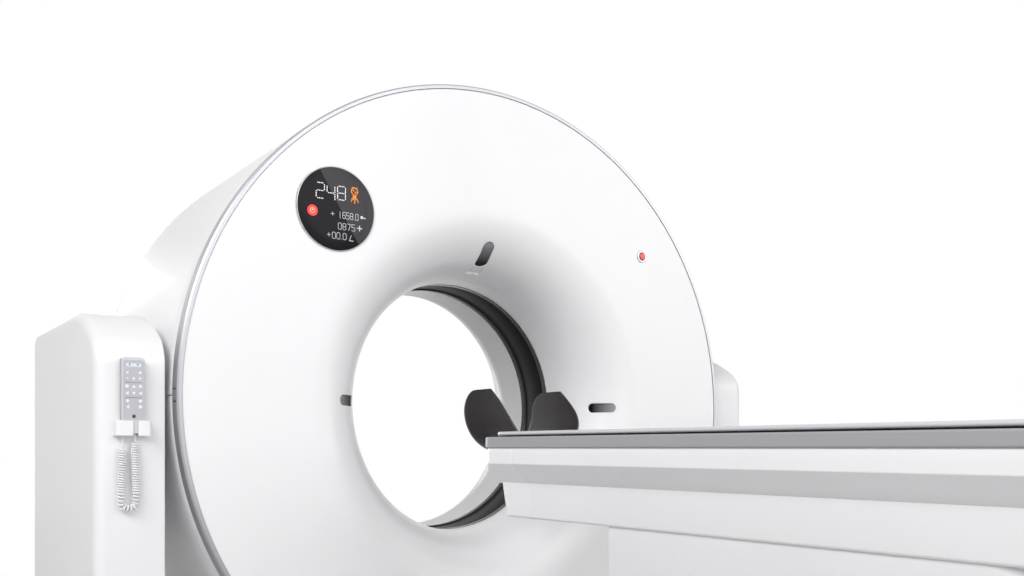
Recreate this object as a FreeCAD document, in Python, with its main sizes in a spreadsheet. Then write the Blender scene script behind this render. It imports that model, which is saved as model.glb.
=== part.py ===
import FreeCAD, Part
import bisect
import math
import os
import re
import Sketcher

# A floor-standing CT scanner: a tilting ring gantry between two stands, and a patient table in front of it.
# Millimetres. The origin is on the floor under the isocentre, +Y runs into the bore away from the table,
# +X is to the right of somebody who stands at the table, and +Z is up.

doc = FreeCAD.newDocument("ct_scanner")
sizes = doc.addObject("Spreadsheet::Sheet", "sizes")

SIZES = (
    # the gantry as a whole
    ("iso_height", 1020, "floor to the axis of the bore"),
    ("face_reach", 330, "scan plane to the flat front face"),
    ("rear_reach", 530, "scan plane to the rear face"),
    ("casing_radius", 912, "outside of the barrel"),
    ("cover_wall", 6, "moulded cover"),
    ("seam_gap", 0.3, "play between two covers"),
    ("edge_bevel", 2, "small edge break on covers and rings"),
    ("swing_radius", 985, "everything that tilts stays inside this circle about the trunnions"),
    ("split_gap", 2, "joint line between the upper and lower side covers"),
    # bore and flares
    ("bore_radius", 380, "patient opening"),
    ("window_half", 74, "half the width of the scan window ring"),
    ("window_wall", 12, "radial depth of the scan window ring"),
    ("window_lip", 18, "width of each raised lip of the ring"),
    ("window_step", 4, "how far the lips stand inside the middle band"),
    ("flare_land", 46, "straight stretch in front of the window"),
    ("flare_bend", 248, "first bend of the front flare"),
    ("flare_turn", 30, "degrees turned by the first bend"),
    ("rear_land", 102, "straight stretch behind the window"),
    ("rear_bend", 158, "first bend of the rear flare"),
    ("rear_turn", 33, "degrees from the axis of the rear cone"),
    ("rear_brow", 60, "depth of the bend from the rear cone to the rear face"),
    ("rear_edge", 25, "bevel of the barrel's rear edge"),
    # trim ring
    ("ring_width", 12.5, "radial width of the trim ring"),
    ("ring_depth", 40, "depth of the trim ring"),
    ("ring_crown", 2, "how far the ring stands proud of the face"),
    # laser slots
    ("slot_near", 400, "inner end of the side laser slots"),
    ("slot_far", 477, "outer end of the side laser slots"),
    ("slot_width", 28, "width of a laser slot"),
    ("top_slot_near", 420, "inner end of the top laser slot"),
    ("pane_set", 2.5, "depth of a laser pane under the cover's skin"),
    # display and emergency stop on the face
    ("display_side", 500, "display centre, left of the axis"),
    ("display_rise", 499, "display centre, above the axis"),
    ("display_radius", 111, "outside of the display bezel"),
    ("display_band", 7, "width of the bezel"),
    ("display_depth", 34, "depth of the display behind the face"),
    ("bezel_crown", 3, "how far a bezel stands proud of the face"),
    ("stop_side", 570, "emergency stop, right of the axis"),
    ("stop_rise", 491, "emergency stop, above the axis"),
    ("stop_flange", 19.5, "radius of the stop's bezel"),
    ("stop_barrel", 16, "radius of its barrel"),
    ("stop_button", 13, "radius of the red button"),
    ("stop_stem", 6, "radius of the button's stem"),
    ("stop_depth", 30, "depth of the barrel"),
    ("stop_travel", 4, "how far the button goes in"),
    ("button_thick", 14, "thickness of the button's head"),
    ("button_proud", 3, "button above its bezel"),
    ("run_gap", 0.3, "running clearance between a moving and a fixed face"),
    # tilting frame, trunnions and main bearing
    ("frame_front", 150, "scan plane to the front of the ring plate"),
    ("frame_thick", 40, "ring plate"),
    ("race_outside", 700, "outside of the main bearing"),
    ("race_inside", 620, "inside of the main bearing"),
    ("race_split", 650, "where the two races meet"),
    ("block_inner", 800, "inner face of a trunnion block"),
    ("block_outer", 885, "outer face of a trunnion block"),
    ("block_half", 100, "half the height of a trunnion block"),
    ("block_front", 90, "scan plane to the front of a trunnion block"),
    ("trunnion_radius", 60, "trunnion shaft"),
    ("trunnion_flange", 85, "radius of the trunnion's flange"),
    ("flange_thick", 12, "flanges of trunnion and bearing"),
    ("trunnion_end", 1012, "outer end of the left trunnion"),
    ("drive_end", 1050, "outer end of the right trunnion, inside the tilt drive"),
    ("trunnion_hole", 76, "hole in the covers for the trunnions"),
    # rotor
    ("disc_front", 70, "scan plane to the rotor disc"),
    ("disc_thick", 25, "rotor disc"),
    ("disc_inside", 470, "hole in the rotor disc"),
    ("rotor_radius", 780, "outside of the rotor disc"),
    ("hub_wall", 24, "hub under the inner race"),
    ("magnet_inside", 700, "inside of the drive's magnet ring"),
    ("magnet_wall", 30, "radial depth of the magnet ring"),
    ("magnet_depth", 45, "depth of the magnet ring"),
    ("stator_outside", 775, "outside of the drive's stator ring"),
    ("stator_depth", 45, "depth of the stator ring"),
    ("slip_inside", 560, "inside of the slip ring"),
    ("slip_outside", 640, "outside of the slip ring"),
    ("slip_depth", 25, "thickness of the slip ring"),
    ("slip_groove", 5, "depth of a slip ring track"),
    ("tube_radius", 95, "x-ray tube housing"),
    ("tube_centre", 640, "axis of the bore to the axis of the tube"),
    ("tube_front", 230, "scan plane to the front of the tube housing"),
    ("tube_bevel", 25, "bevel of the tube housing's front"),
    ("port_inner", 470, "inner face of the beam collimator"),
    ("port_half", 95, "half the width of the beam collimator"),
    ("port_slit", 15, "half the width of its slit along the axis"),
    ("detector_inside", 560, "detector housing, inner radius"),
    ("detector_wall", 85, "detector housing, radial depth"),
    ("detector_turn", 28, "half the angle of the detector, in degrees"),
    ("module_depth", 15, "detector modules, radial depth"),
    ("module_half", 30, "half the width of a detector module along the axis"),
    ("module_count", 28, "detector modules"),
    ("module_gap", 0.4, "degrees between two modules"),
    ("box_inner", 540, "inner face of the boxes on the rotor"),
    ("box_outer", 755, "outer face of the boxes on the rotor"),
    ("box_half", 130, "half the width of the generator"),
    ("inverter_half", 108.5, "half the width of the inverter"),
    ("box_front", 170, "scan plane to the front of such a box"),
    ("cooler_half", 100, "half the width of the heat exchanger"),
    ("cooler_turn", 47, "degrees from +X to the heat exchanger"),
    ("brush_turn", 50, "degrees below +X to the brush block"),
    ("brush_half", 60, "half the width of the brush block"),
    ("brush_outer", 760, "outer end of the brush block"),
    # stands and their covers
    ("pod_inner", 930, "inner face of a stand cover"),
    ("pod_outer", 1090, "outer face of a stand cover"),
    ("pod_front", 285, "scan plane to the front of a stand cover"),
    ("pod_rear", 535, "scan plane to the back of a stand cover"),
    ("pod_top", 1240, "top of a stand cover"),
    ("pod_wall", 5, "stand cover"),
    ("pod_edge", 28, "rounding along the sides of a stand cover"),
    ("brow_bend", 85, "first bend of the cover's front top corner"),
    ("brow_turn", 55, "degrees turned by it"),
    ("crown_bend", 445, "second bend, up to the flat top"),
    ("tail_bend", 50, "rear top corner"),
    ("pod_foot", 25, "width of the flange that the cover stands on"),
    ("plate_thick", 20, "floor plates"),
    ("plate_inset", 10, "floor plate inside the covers' outline"),
    ("well_half", 860, "half the width of the hole in the floor plate"),
    ("well_front", 150, "scan plane to the front of that hole"),
    ("well_rear", 400, "scan plane to its back"),
    ("anchor_side", 900, "floor anchors, from the middle"),
    ("anchor_reach", 230, "floor anchors, from the scan plane"),
    ("anchor_radius", 9, "anchor hole"),
    ("web_inner", 960, "inner face of a stand's web"),
    ("web_thick", 40, "web of a stand"),
    ("web_front", 245, "scan plane to the front of a stand's foot"),
    ("web_rear", 495, "scan plane to its back"),
    ("web_toe", 60, "height at which the web starts to narrow"),
    ("web_head", 130, "radius of the web's head about the trunnion"),
    ("web_window", 105, "radius of the lightening hole"),
    ("window_height", 560, "height of the lightening hole"),
    ("window_back", 70, "scan plane to its middle"),
    ("foot_inner", 950, "inner edge of a stand's foot"),
    ("foot_outer", 1060, "outer edge of a stand's foot"),
    ("foot_thick", 20, "foot plate of a stand"),
    ("rib_rise", 460, "height of a stand's ribs"),
    ("rib_thick", 16, "thickness of a rib"),
    ("bush_radius", 95, "bearing housing in the web"),
    ("bush_flange", 115, "flange of the bearing housing"),
    ("gear_radius", 105, "tilt drive housing"),
    ("gear_outer", 1080, "outer face of the tilt drive"),
    ("motor_radius", 34, "tilt motor"),
    ("motor_gap", 2, "tilt motor clear of the bearing's flange"),
    ("motor_drop", 330, "axis of the bore to the bottom of the tilt motor"),
    # handset
    ("handset_side", 1006, "middle of the handset, left of the axis"),
    ("handset_width", 52, "handset"),
    ("handset_bottom", 926, "lower end of the handset"),
    ("handset_top", 1106, "upper end of the handset"),
    ("handset_thick", 18, "handset"),
    ("handset_corner", 7, "corner radius of the handset"),
    ("handset_edge", 2, "edge rounding of the handset"),
    ("holder_width", 83, "handset holder"),
    ("holder_bottom", 921, "holder"),
    ("holder_top", 956.5, "holder"),
    ("holder_back", 4, "back wall of the holder"),
    ("holder_front", 5, "front wall of the holder"),
    ("holder_corner", 8, "corner radius of the holder"),
    ("notch_half", 6, "half the width of the holder's cord slot"),
    ("pad_width", 44, "keypad overlay"),
    ("pad_bottom", 964, "keypad overlay"),
    ("pad_top", 1099, "keypad overlay"),
    ("pad_thick", 0.8, "keypad overlay"),
    ("key_side", 7, "a key"),
    ("key_pitch", 14, "spacing of keys across"),
    ("key_rise", 0.5, "height of a key"),
    # curly cord
    ("cord_width", 4.2, "thickness of the cord"),
    ("coil_width", 19, "outside of the curls"),
    ("cord_plane", 298, "scan plane to the middle of the hanging cord"),
    ("cord_left", 1029, "where the cord leaves the holder"),
    ("cord_right", 1001, "where it leaves the handset"),
    # table
    ("deck_top", 919.5, "top of the side rails"),
    ("deck_bottom", 892, "bottom of the side rails"),
    ("deck_half", 240, "half the width over the side rails"),
    ("deck_front", 604, "scan plane to the front of the deck"),
    ("deck_corner", 65, "front corners of the deck, in plan"),
    ("deck_wall", 6, "floor of the deck's trough"),
    ("table_rear", 3050, "scan plane to the rear of the table"),
    ("shell_half", 235, "half the width of the table body"),
    ("shell_front", 609, "scan plane to the front of the table body"),
    ("shell_corner", 60, "its front corners, in plan"),
    ("shell_wall", 5, "table covers"),
    ("shell_break", 853, "height where the side turns under"),
    ("shell_under", 803, "underside of the body's nose"),
    ("shell_rake", 25, "how far the nose slants back"),
    ("belly_top", 806, "top of the lower body"),
    ("belly_bottom", 717, "bottom of the lower body"),
    ("belly_half", 188, "half the width of the lower body at its top"),
    ("belly_foot", 173, "half its width at the bottom"),
    ("belly_edge", 8, "lower edge rounding"),
    ("belly_front", 647, "scan plane to the front of the lower body"),
    ("cap_seam", 761, "scan plane to the seam of the front cap"),
    ("seam_line", 1, "width of that seam"),
    ("cradle_rim", 932.5, "top of the cradle's rim"),
    ("rim_thick", 9.5, "thickness of the rim"),
    ("cradle_half", 229, "half the width of the cradle"),
    ("cradle_seat", 215, "half the width of the dished part"),
    ("cradle_sag", 43, "depth of the dish under the rim"),
    ("cradle_thick", 16, "thickness of the dish"),
    ("cradle_front", 640, "scan plane to the front of the cradle"),
    ("cradle_rear", 3040, "scan plane to the rear of the cradle"),
    ("cradle_corner", 70, "front corners of the cradle, in plan"),
    ("rear_corner", 20, "rear corners of deck, cradle and body, in plan"),
    ("glide_gap", 3, "cradle above the trough"),
    ("tongue_half", 50, "half the width of the head holder's tongue"),
    ("tongue_low", 885.5, "underside of the tongue's slot"),
    ("tongue_high", 892.5, "top of the tongue's slot"),
    ("tongue_depth", 60, "depth of the tongue's slot"),
    # head holder
    ("holder_radius", 125, "outside of the head holder's trough"),
    ("holder_floor", 883, "lowest point of the head holder"),
    ("holder_wall", 6, "wall of the head holder"),
    ("wing_top", 1053, "top of its wings"),
    ("wing_tip", 364, "scan plane to the wings' front"),
    ("wing_crest", 409, "scan plane to the front of the wings' flat top"),
    ("wing_back", 497, "scan plane to the back of the flat top"),
    ("wing_root", 640, "scan plane to where the wings leave the cradle"),
    ("wing_bulge", 150, "bend of the wings' front edge"),
    ("tip_height", 985, "height of the wings' foremost point"),
    # frame, slides and lift
    ("beam_top", 806, "top of the table's beam"),
    ("beam_thick", 16, "plate of the beam"),
    ("beam_half", 160, "half the width of the beam"),
    ("beam_web", 6.5, "side webs of the beam"),
    ("beam_front", 770, "scan plane to the front of the beam"),
    ("beam_rear", 2950, "scan plane to its rear"),
    ("track_height", 14, "height of the slide rails"),
    ("track_near", 90, "inner side of a slide rail"),
    ("track_far", 110, "outer side of a slide rail"),
    ("track_front", 1060, "scan plane to the front of the slide rails"),
    ("track_rear", 2940, "scan plane to their rear"),
    ("unit_half", 40, "half the width of the linear drive"),
    ("truck_half", 125, "half the width of the carriage"),
    ("truck_thick", 28, "carriage block"),
    ("truck_rear", 2900, "scan plane to the rear of the carriage"),
    ("truck_length", 200, "carriage"),
    ("neck_half", 30, "half the width of the carriage's neck"),
    ("gate_half", 37, "half the width of the slot in the deck"),
    ("stroke_length", 1600, "travel of the cradle"),
    ("post_top_half", 125, "half the width of the head plate on the column"),
    ("post_half", 90, "half the width of the post under the beam"),
    ("head_height", 700, "top of the lift column"),
    ("head_thick", 12, "head plate on the column"),
    ("column_middle", 1540, "scan plane to the middle of the lift column"),
    ("column_half", 120, "half the width of the fixed column"),
    ("column_wall", 8, "wall of the column tubes"),
    ("column_play", 0.5, "play between two column tubes"),
    ("stage_length", 320, "length of each column tube"),
    ("stage_lap", 140, "how far two column tubes overlap"),
    ("skirt_half", 165, "half the width of the pedestal"),
    ("skirt_front", 1027, "scan plane to the front of the pedestal"),
    ("skirt_rear", 2060, "scan plane to its rear"),
    ("skirt_bottom", 375, "lower edge of the moving skirt"),
    ("skirt_corner", 16, "front corners of the pedestal"),
    ("skirt_round", 150, "rear corners of the pedestal"),
    ("skirt_gap", 3, "play between skirt and plinth"),
    ("plinth_top", 415, "top of the fixed plinth"),
    ("duct_half", 150, "half the width of the floor duct"),
    ("duct_height", 18, "height of the floor duct"),
    ("duct_bevel", 12, "sloping sides of the floor duct"),
)

for row, (alias, value, note) in enumerate(SIZES, 1):
    sizes.set(f"A{row}", alias)
    sizes.set(f"B{row}", str(value))
    sizes.setAlias(f"B{row}", alias)
    sizes.set(f"C{row}", note)
doc.recompute()

PARTS = {}

# outlines that several pieces share, in the sheet's words
SEAM_RADIUS = "(casing_radius - ring_width)"
MOUTH_BEND = "((face_reach - window_half - flare_land - flare_bend * sin(flare_turn)) / (1 - sin(flare_turn)))"
MOUTH_RADIUS = f"(bore_radius + flare_bend * (1 - cos(flare_turn)) + {MOUTH_BEND} * cos(flare_turn))"
REAR_BROW = "(rear_brow / (1 - sin(rear_turn)))"
REAR_START = "(window_half + rear_land)"
CONE_START = f"({REAR_START} + rear_bend * sin(rear_turn))"
CONE_RADIUS = "(bore_radius + rear_bend * (1 - cos(rear_turn)))"
CONE_END = f"({CONE_RADIUS} + (rear_reach - rear_brow - {CONE_START}) * tan(rear_turn))"
RIM_START = "(rear_reach - rear_brow)"
HUB_INSIDE = "(race_inside - hub_wall)"
DISC_REAR = "(disc_front + disc_thick)"
FRAME_REAR = "(frame_front + frame_thick)"
POD_FACE = "(pod_front - pod_wall)"
DISH_RADIUS = "((cradle_seat ^ 2 + cradle_sag ^ 2) / (2 * cradle_sag))"
DISH_CENTRE = f"(cradle_rim - rim_thick - cradle_sag + {DISH_RADIUS})"
TROUGH_RADIUS = f"({DISH_RADIUS} + glide_gap)"
TROUGH_UNDER = f"({TROUGH_RADIUS} + deck_wall)"
TRACK_TOP = "(beam_top + track_height)"
HOLDER_CENTRE = "(holder_floor + holder_radius)"


def size(text):
    """The number that a formula in the sheet's words comes to."""
    found = sizes.evalExpression(text)
    return float(getattr(found, "Value", found))


def bound(text):
    """The same formula as another object has to write it."""
    return re.sub(r"\b([a-z]+(?:_[a-z]+)+)\b", r"sizes.\1", text)


def tie(thing, name, text):
    thing.setExpression(name, bound(text))


def keep(thing, node, height="0"):
    """File an object as one of the scanner's pieces, lifted to its height."""
    thing.Label = node
    if height != "0":
        tie(thing, "Placement.Base.z", height)
    PARTS[node] = thing
    return thing


def body(name):
    return doc.addObject("PartDesign::Body", name + "_body")


def draw_loop(drawing, loop):
    """A closed outline. A corner is (u, v), or (u, v, side, radius) where an arc leaves it."""
    spots = [FreeCAD.Vector(size(corner[0]), size(corner[1]), 0) for corner in loop]
    edges = []
    for index, corner in enumerate(loop):
        start, end = spots[index], spots[(index + 1) % len(loop)]
        if len(corner) == 2:
            edges.append((drawing.addGeometry(Part.LineSegment(start, end)), 1, 2))
            continue
        side = 1 if corner[2] == "left" else -1
        radius = size(corner[3])
        half = (end - start) * 0.5
        across = FreeCAD.Vector(-half.y, half.x, 0).normalize()
        centre = start + half + across * side * math.sqrt(max(radius**2 - half.Length**2, 0))
        first, last = (start, end) if side > 0 else (end, start)
        angles = [math.atan2(spot.y - centre.y, spot.x - centre.x) for spot in (first, last)]
        if angles[1] < angles[0]:
            angles[1] += 2 * math.pi
        circle = Part.Circle(centre, FreeCAD.Vector(0, 0, 1), radius)
        arc = drawing.addGeometry(Part.ArcOfCircle(circle, *angles))
        edges.append((arc, 1, 2) if side > 0 else (arc, 2, 1))
        rule = drawing.addConstraint(Sketcher.Constraint("Radius", arc, radius))
        tie(drawing, f"Constraints[{rule}]", corner[3])
    for index, corner in enumerate(loop):
        edge, first, _ = edges[index]
        before, _, last = edges[index - 1]
        drawing.addConstraint(Sketcher.Constraint("Coincident", before, last, edge, first))
        for kind, axis, text in (("DistanceX", -2, corner[0]), ("DistanceY", -1, corner[1])):
            if text == "0":
                drawing.addConstraint(Sketcher.Constraint("PointOnObject", edge, first, axis))
                continue
            rule = drawing.addConstraint(Sketcher.Constraint(kind, -1, 1, edge, first, size(text)))
            tie(drawing, f"Constraints[{rule}]", text)


def draw_circle(drawing, across, up, radius):
    centre = FreeCAD.Vector(size(across), size(up), 0)
    ring = drawing.addGeometry(Part.Circle(centre, FreeCAD.Vector(0, 0, 1), size(radius)))
    rules = [("Radius", (ring, size(radius)), radius)]
    for kind, axis, text in (("DistanceX", -2, across), ("DistanceY", -1, up)):
        if text == "0":
            drawing.addConstraint(Sketcher.Constraint("PointOnObject", ring, 3, axis))
        else:
            rules.append((kind, (-1, 1, ring, 3, size(text)), text))
    for kind, words, text in rules:
        rule = drawing.addConstraint(Sketcher.Constraint(kind, *words))
        tie(drawing, f"Constraints[{rule}]", text)


def sketch(owner, plane, loops, circles=(), offset="0"):
    """A sketch on one of the body's own planes, moved along the plane's normal."""
    drawing = owner.newObject("Sketcher::SketchObject", owner.Name + "_sketch")
    face = next(item for item in owner.Origin.OriginFeatures if item.Role == plane + "_Plane")
    drawing.AttachmentSupport = [(face, "")]
    drawing.MapMode = "FlatFace"
    if offset != "0":
        tie(drawing, "AttachmentOffset.Base.z", offset)
    for loop in loops:
        draw_loop(drawing, loop)
    for circle in circles:
        draw_circle(drawing, *circle)
    return drawing


def slab(owner, plane, loops, low, high, circles=()):
    """Pad an outline from one coordinate to another along the plane's axis."""
    start = f"-({high})" if plane == "XZ" else low
    drawing = sketch(owner, plane, loops, circles, start)
    pad = owner.newObject("PartDesign::Pad", owner.Name + "_pad")
    pad.Profile = drawing
    tie(pad, "Length", f"({high}) - ({low})")
    owner.Tip = pad
    return pad


def pierce(owner, plane, loops=(), circles=()):
    """Cut outlines right through the body, both ways from the plane."""
    drawing = sketch(owner, plane, loops, circles)
    pocket = owner.newObject("PartDesign::Pocket", owner.Name + "_hole")
    pocket.Profile = drawing
    pocket.Type = "ThroughAll"
    pocket.SideType = "Symmetric"
    owner.Tip = pocket
    return pocket


def turn(owner, plane, loop):
    """Turn an outline about the sketch's horizontal axis."""
    drawing = sketch(owner, plane, [loop])
    ring = owner.newObject("PartDesign::Revolution", owner.Name + "_turned")
    ring.Profile = drawing
    ring.ReferenceAxis = (drawing, ["H_Axis"])
    ring.Angle = 360
    owner.Tip = ring
    return ring


def rounded(owner, radius, chosen, kind="Fillet"):
    """Round or, as a Chamfer, bevel the edges of the body that a test picks."""
    doc.recompute()
    base = owner.Tip
    names = [f"Edge{n}" for n, edge in enumerate(base.Shape.Edges, 1) if chosen(edge)]
    bend = owner.newObject("PartDesign::" + kind, owner.Name + "_round")
    bend.Base = (base, names)
    tie(bend, "Radius" if kind == "Fillet" else "Size", radius)
    owner.Tip = bend
    return bend


def box(name, across, along, up):
    """A block between pairs of coordinates."""
    block = doc.addObject("Part::Box", name)
    for (low, high), length, axis in zip((across, along, up), ("Length", "Width", "Height"), "xyz"):
        tie(block, length, f"({high}) - ({low})")
        tie(block, "Placement.Base." + axis, low)
    return block


AXES = {
    "X": (FreeCAD.Rotation(FreeCAD.Vector(0, 1, 0), 90), "x", "yz"),
    "Y": (FreeCAD.Rotation(FreeCAD.Vector(1, 0, 0), -90), "y", "xz"),
    "Z": (FreeCAD.Rotation(), "z", "xy"),
}


def rod(name, axis, radius, low, high, centre=("0", "0")):
    """A cylinder along an axis, between two coordinates."""
    turned, along, sides = AXES[axis]
    post = doc.addObject("Part::Cylinder", name)
    post.Placement = FreeCAD.Placement(FreeCAD.Vector(0, 0, 0), turned)
    tie(post, "Radius", radius)
    tie(post, "Height", f"({high}) - ({low})")
    tie(post, "Placement.Base." + along, low)
    for side, text in zip(sides, centre):
        if text != "0":
            tie(post, "Placement.Base." + side, text)
    return post


def cut(name, base, *tools):
    for number, tool in enumerate(tools, 1):
        step = doc.addObject("Part::Cut", f"{name}_cut{number}")
        step.Base, step.Tool = base, tool
        base = step
    return base


def common(name, *shapes):
    both = doc.addObject("Part::MultiCommon", name + "_common")
    both.Shapes = list(shapes)
    return both


def fuse(name, *shapes):
    whole = doc.addObject("Part::MultiFuse", name + "_fused")
    whole.Shapes = list(shapes)
    whole.Refine = True
    return whole


def rectangle(low, high, near, far):
    return [(low, near), (high, near), (high, far), (low, far)]


def backwards(corners):
    """The same run of corners drawn the other way, its arcs bending to the other side."""
    result = []
    for index in range(len(corners) - 1, -1, -1):
        before = corners[index - 1] if index else ()
        if len(before) == 4:
            side = "left" if before[2] == "right" else "right"
            result.append((*corners[index][:2], side, before[3]))
        else:
            result.append(corners[index][:2])
    return result


def chords(along, out, radius, start, end, pieces, sign="-"):
    """Straight runs inscribed in a bend round a centre, for a hidden wall. Angles count from the axis."""
    spots = []
    for number in range(pieces + 1):
        angle = f"(({start}) + (({end}) - ({start})) * {number} / {pieces})"
        spots.append((f"{sign}({along} + ({radius}) * sin({angle}))", f"{out} - ({radius}) * cos({angle})"))
    return spots


def hidden_flare(depth):
    """The back of the front flare, as deep under its skin as asked."""
    return [
        *chords("(window_half + flare_land)", "(bore_radius + flare_bend)", f"flare_bend - {depth}",
                "0", "flare_turn", 2),
        *chords(f"(face_reach - {MOUTH_BEND})", MOUTH_RADIUS, f"{MOUTH_BEND} - {depth}",
                "flare_turn", "90", 3)[1:],
    ]


def front_flare(depth):
    """The front flare from bore to face, as deep under its skin as asked."""
    return [
        ("-(window_half + flare_land)", f"bore_radius + {depth}", "right", f"flare_bend - {depth}"),
        (
            f"-(window_half + flare_land + (flare_bend - {depth}) * sin(flare_turn))",
            f"bore_radius + flare_bend - (flare_bend - {depth}) * cos(flare_turn)",
            "right",
            f"{MOUTH_BEND} - {depth}",
        ),
        (f"-(face_reach - {depth})", MOUTH_RADIUS),
    ]


def slot(near, far, upright=False):
    """A slot with round ends, along the sketch's first axis or, upright, its second."""
    half = "slot_width / 2"
    low, high = f"{near} + {half}", f"{far} - {half}"
    corners = [
        (low, f"-{half}"),
        (high, f"-{half}", "left", half),
        (far, "0", "left", half),
        (high, half),
        (low, half, "left", half),
        (near, "0", "left", half),
    ]
    if not upright:
        return corners
    return [(c[1], c[0], "right", c[3]) if len(c) == 4 else (c[1], c[0]) for c in corners]


LASER_SLOTS = {
    "left": slot("-slot_far", "-slot_near"),
    "right": slot("slot_near", "slot_far"),
    "top": slot("top_slot_near", "slot_far", upright=True),
}


def make_front_cover():
    """The hero moulding: a flat ring face that rolls into the bore in two bends, pierced for its fittings."""
    cover = body("front_cover")
    rim = f"{SEAM_RADIUS} - seam_gap"
    turn(cover, "YZ", [
        ("-(window_half + seam_gap)", "bore_radius"),
        *front_flare("0"),
        ("-face_reach", f"{rim} - edge_bevel"),
        ("-(face_reach - edge_bevel)", rim),
        ("-(face_reach - ring_depth)", rim),
        ("-(face_reach - ring_depth)", f"{rim} - cover_wall"),
        ("-(face_reach - cover_wall)", f"{rim} - cover_wall"),
        *reversed(hidden_flare("cover_wall")),
        ("-(window_half + seam_gap)", "bore_radius + cover_wall"),
    ])
    pierce(cover, "XZ", list(LASER_SLOTS.values()), [
        ("-display_side", "display_rise", "display_radius - display_band + seam_gap"),
        ("stop_side", "stop_rise", "stop_barrel + seam_gap"),
    ])
    keep(cover, "front_cover", "iso_height")


def make_laser_windows():
    """Dark panes set into the flare's slots, each bent like the flare."""
    pane = body("laser_pane")
    turn(pane, "YZ", [*hidden_flare("pane_set"), *reversed(hidden_flare("cover_wall"))])
    for place, outline in LASER_SLOTS.items():
        plug = body(f"laser_plug_{place}")
        slab(plug, "XZ", [outline], "-face_reach", "-window_half")
        keep(common(f"laser_window_{place}", pane, plug), f"laser_window_{place}", "iso_height")


def make_trim_ring():
    """A rolled aluminium ring round the face, bevelled at its front edge."""
    ring = body("trim_ring")
    back = "-(face_reach - ring_depth)"
    turn(ring, "YZ", [
        ("-(face_reach + ring_crown)", SEAM_RADIUS),
        ("-(face_reach + ring_crown)", "casing_radius - 2 * edge_bevel"),
        ("-(face_reach - ring_crown)", "casing_radius"),
        (back, "casing_radius"),
        (back, SEAM_RADIUS),
    ])
    keep(ring, "trim_ring", "iso_height")


def barrel_half(owner, sign, outside, inside):
    """Half of the barrel's section, stopping half a split gap from the joint line."""
    half = "split_gap / 2"
    sides = ("left", "right") if sign == "" else ("right", "left")
    return [
        (f"sqrt({outside} ^ 2 - ({half}) ^ 2)", f"{sign}{half}", sides[0], outside),
        ("0", f"{sign}{outside}", sides[0], outside),
        (f"-sqrt({outside} ^ 2 - ({half}) ^ 2)", f"{sign}{half}"),
        (f"-sqrt({inside} ^ 2 - ({half}) ^ 2)", f"{sign}{half}", sides[1], inside),
        ("0", f"{sign}{inside}", sides[1], inside),
        (f"sqrt({inside} ^ 2 - ({half}) ^ 2)", f"{sign}{half}"),
    ]


COVER_START = "-(face_reach - ring_depth - seam_gap)"
COVER_END = f"({RIM_START} - seam_gap)"


def make_side_covers():
    """Upper and lower halves of the barrel. The lower one's rear corner follows the tilt's swing."""
    hole = rod("trunnion_hole_tool", "X", "trunnion_hole", "-casing_radius - cover_wall",
               "casing_radius + cover_wall")
    inside = "(casing_radius - cover_wall)"
    for place, sign in (("upper", ""), ("lower", "-")):
        half = body(f"barrel_{place}")
        slab(half, "XZ", [barrel_half(half, sign, "casing_radius", inside)], COVER_START, COVER_END)
        if place == "upper":
            shell = cut("side_cover_upper", half, hole)
        else:
            under = swing_skin("lower", rod("barrel_core", "Y", "casing_radius", COVER_START, COVER_END))
            kept = cut("barrel_trimmed", half, swing_waste("lower"))
            shell = cut("side_cover_lower", fuse("barrel_shell", kept, under), hole)
        keep(shell, f"side_cover_{place}", "iso_height")


def swing_drum(name, radius):
    return rod(name, "X", radius, "-casing_radius", "casing_radius")


def rear_corner_below(name):
    """The low rear corner of the barrel, the only part that could swing too far out."""
    return box(name, ("-casing_radius", "casing_radius"), ("0", "rear_reach + rear_edge"),
               ("-casing_radius - rear_edge", "-casing_radius / 2"))


def swing_waste(name):
    """What of the low rear corner lies outside the swing."""
    return cut(f"swing_waste_{name}", rear_corner_below(f"swing_corner_{name}"),
               swing_drum(f"swing_limit_{name}", "swing_radius"))


def swing_skin(name, region):
    """The part of the swing drum's wall that closes the low rear corner inside a region."""
    wall = cut(f"swing_wall_{name}", swing_drum(f"swing_outside_{name}", "swing_radius"),
               swing_drum(f"swing_inside_{name}", "swing_radius - cover_wall"))
    return common(f"swing_skin_{name}", wall, region, rear_corner_below(f"swing_below_{name}"))


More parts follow.
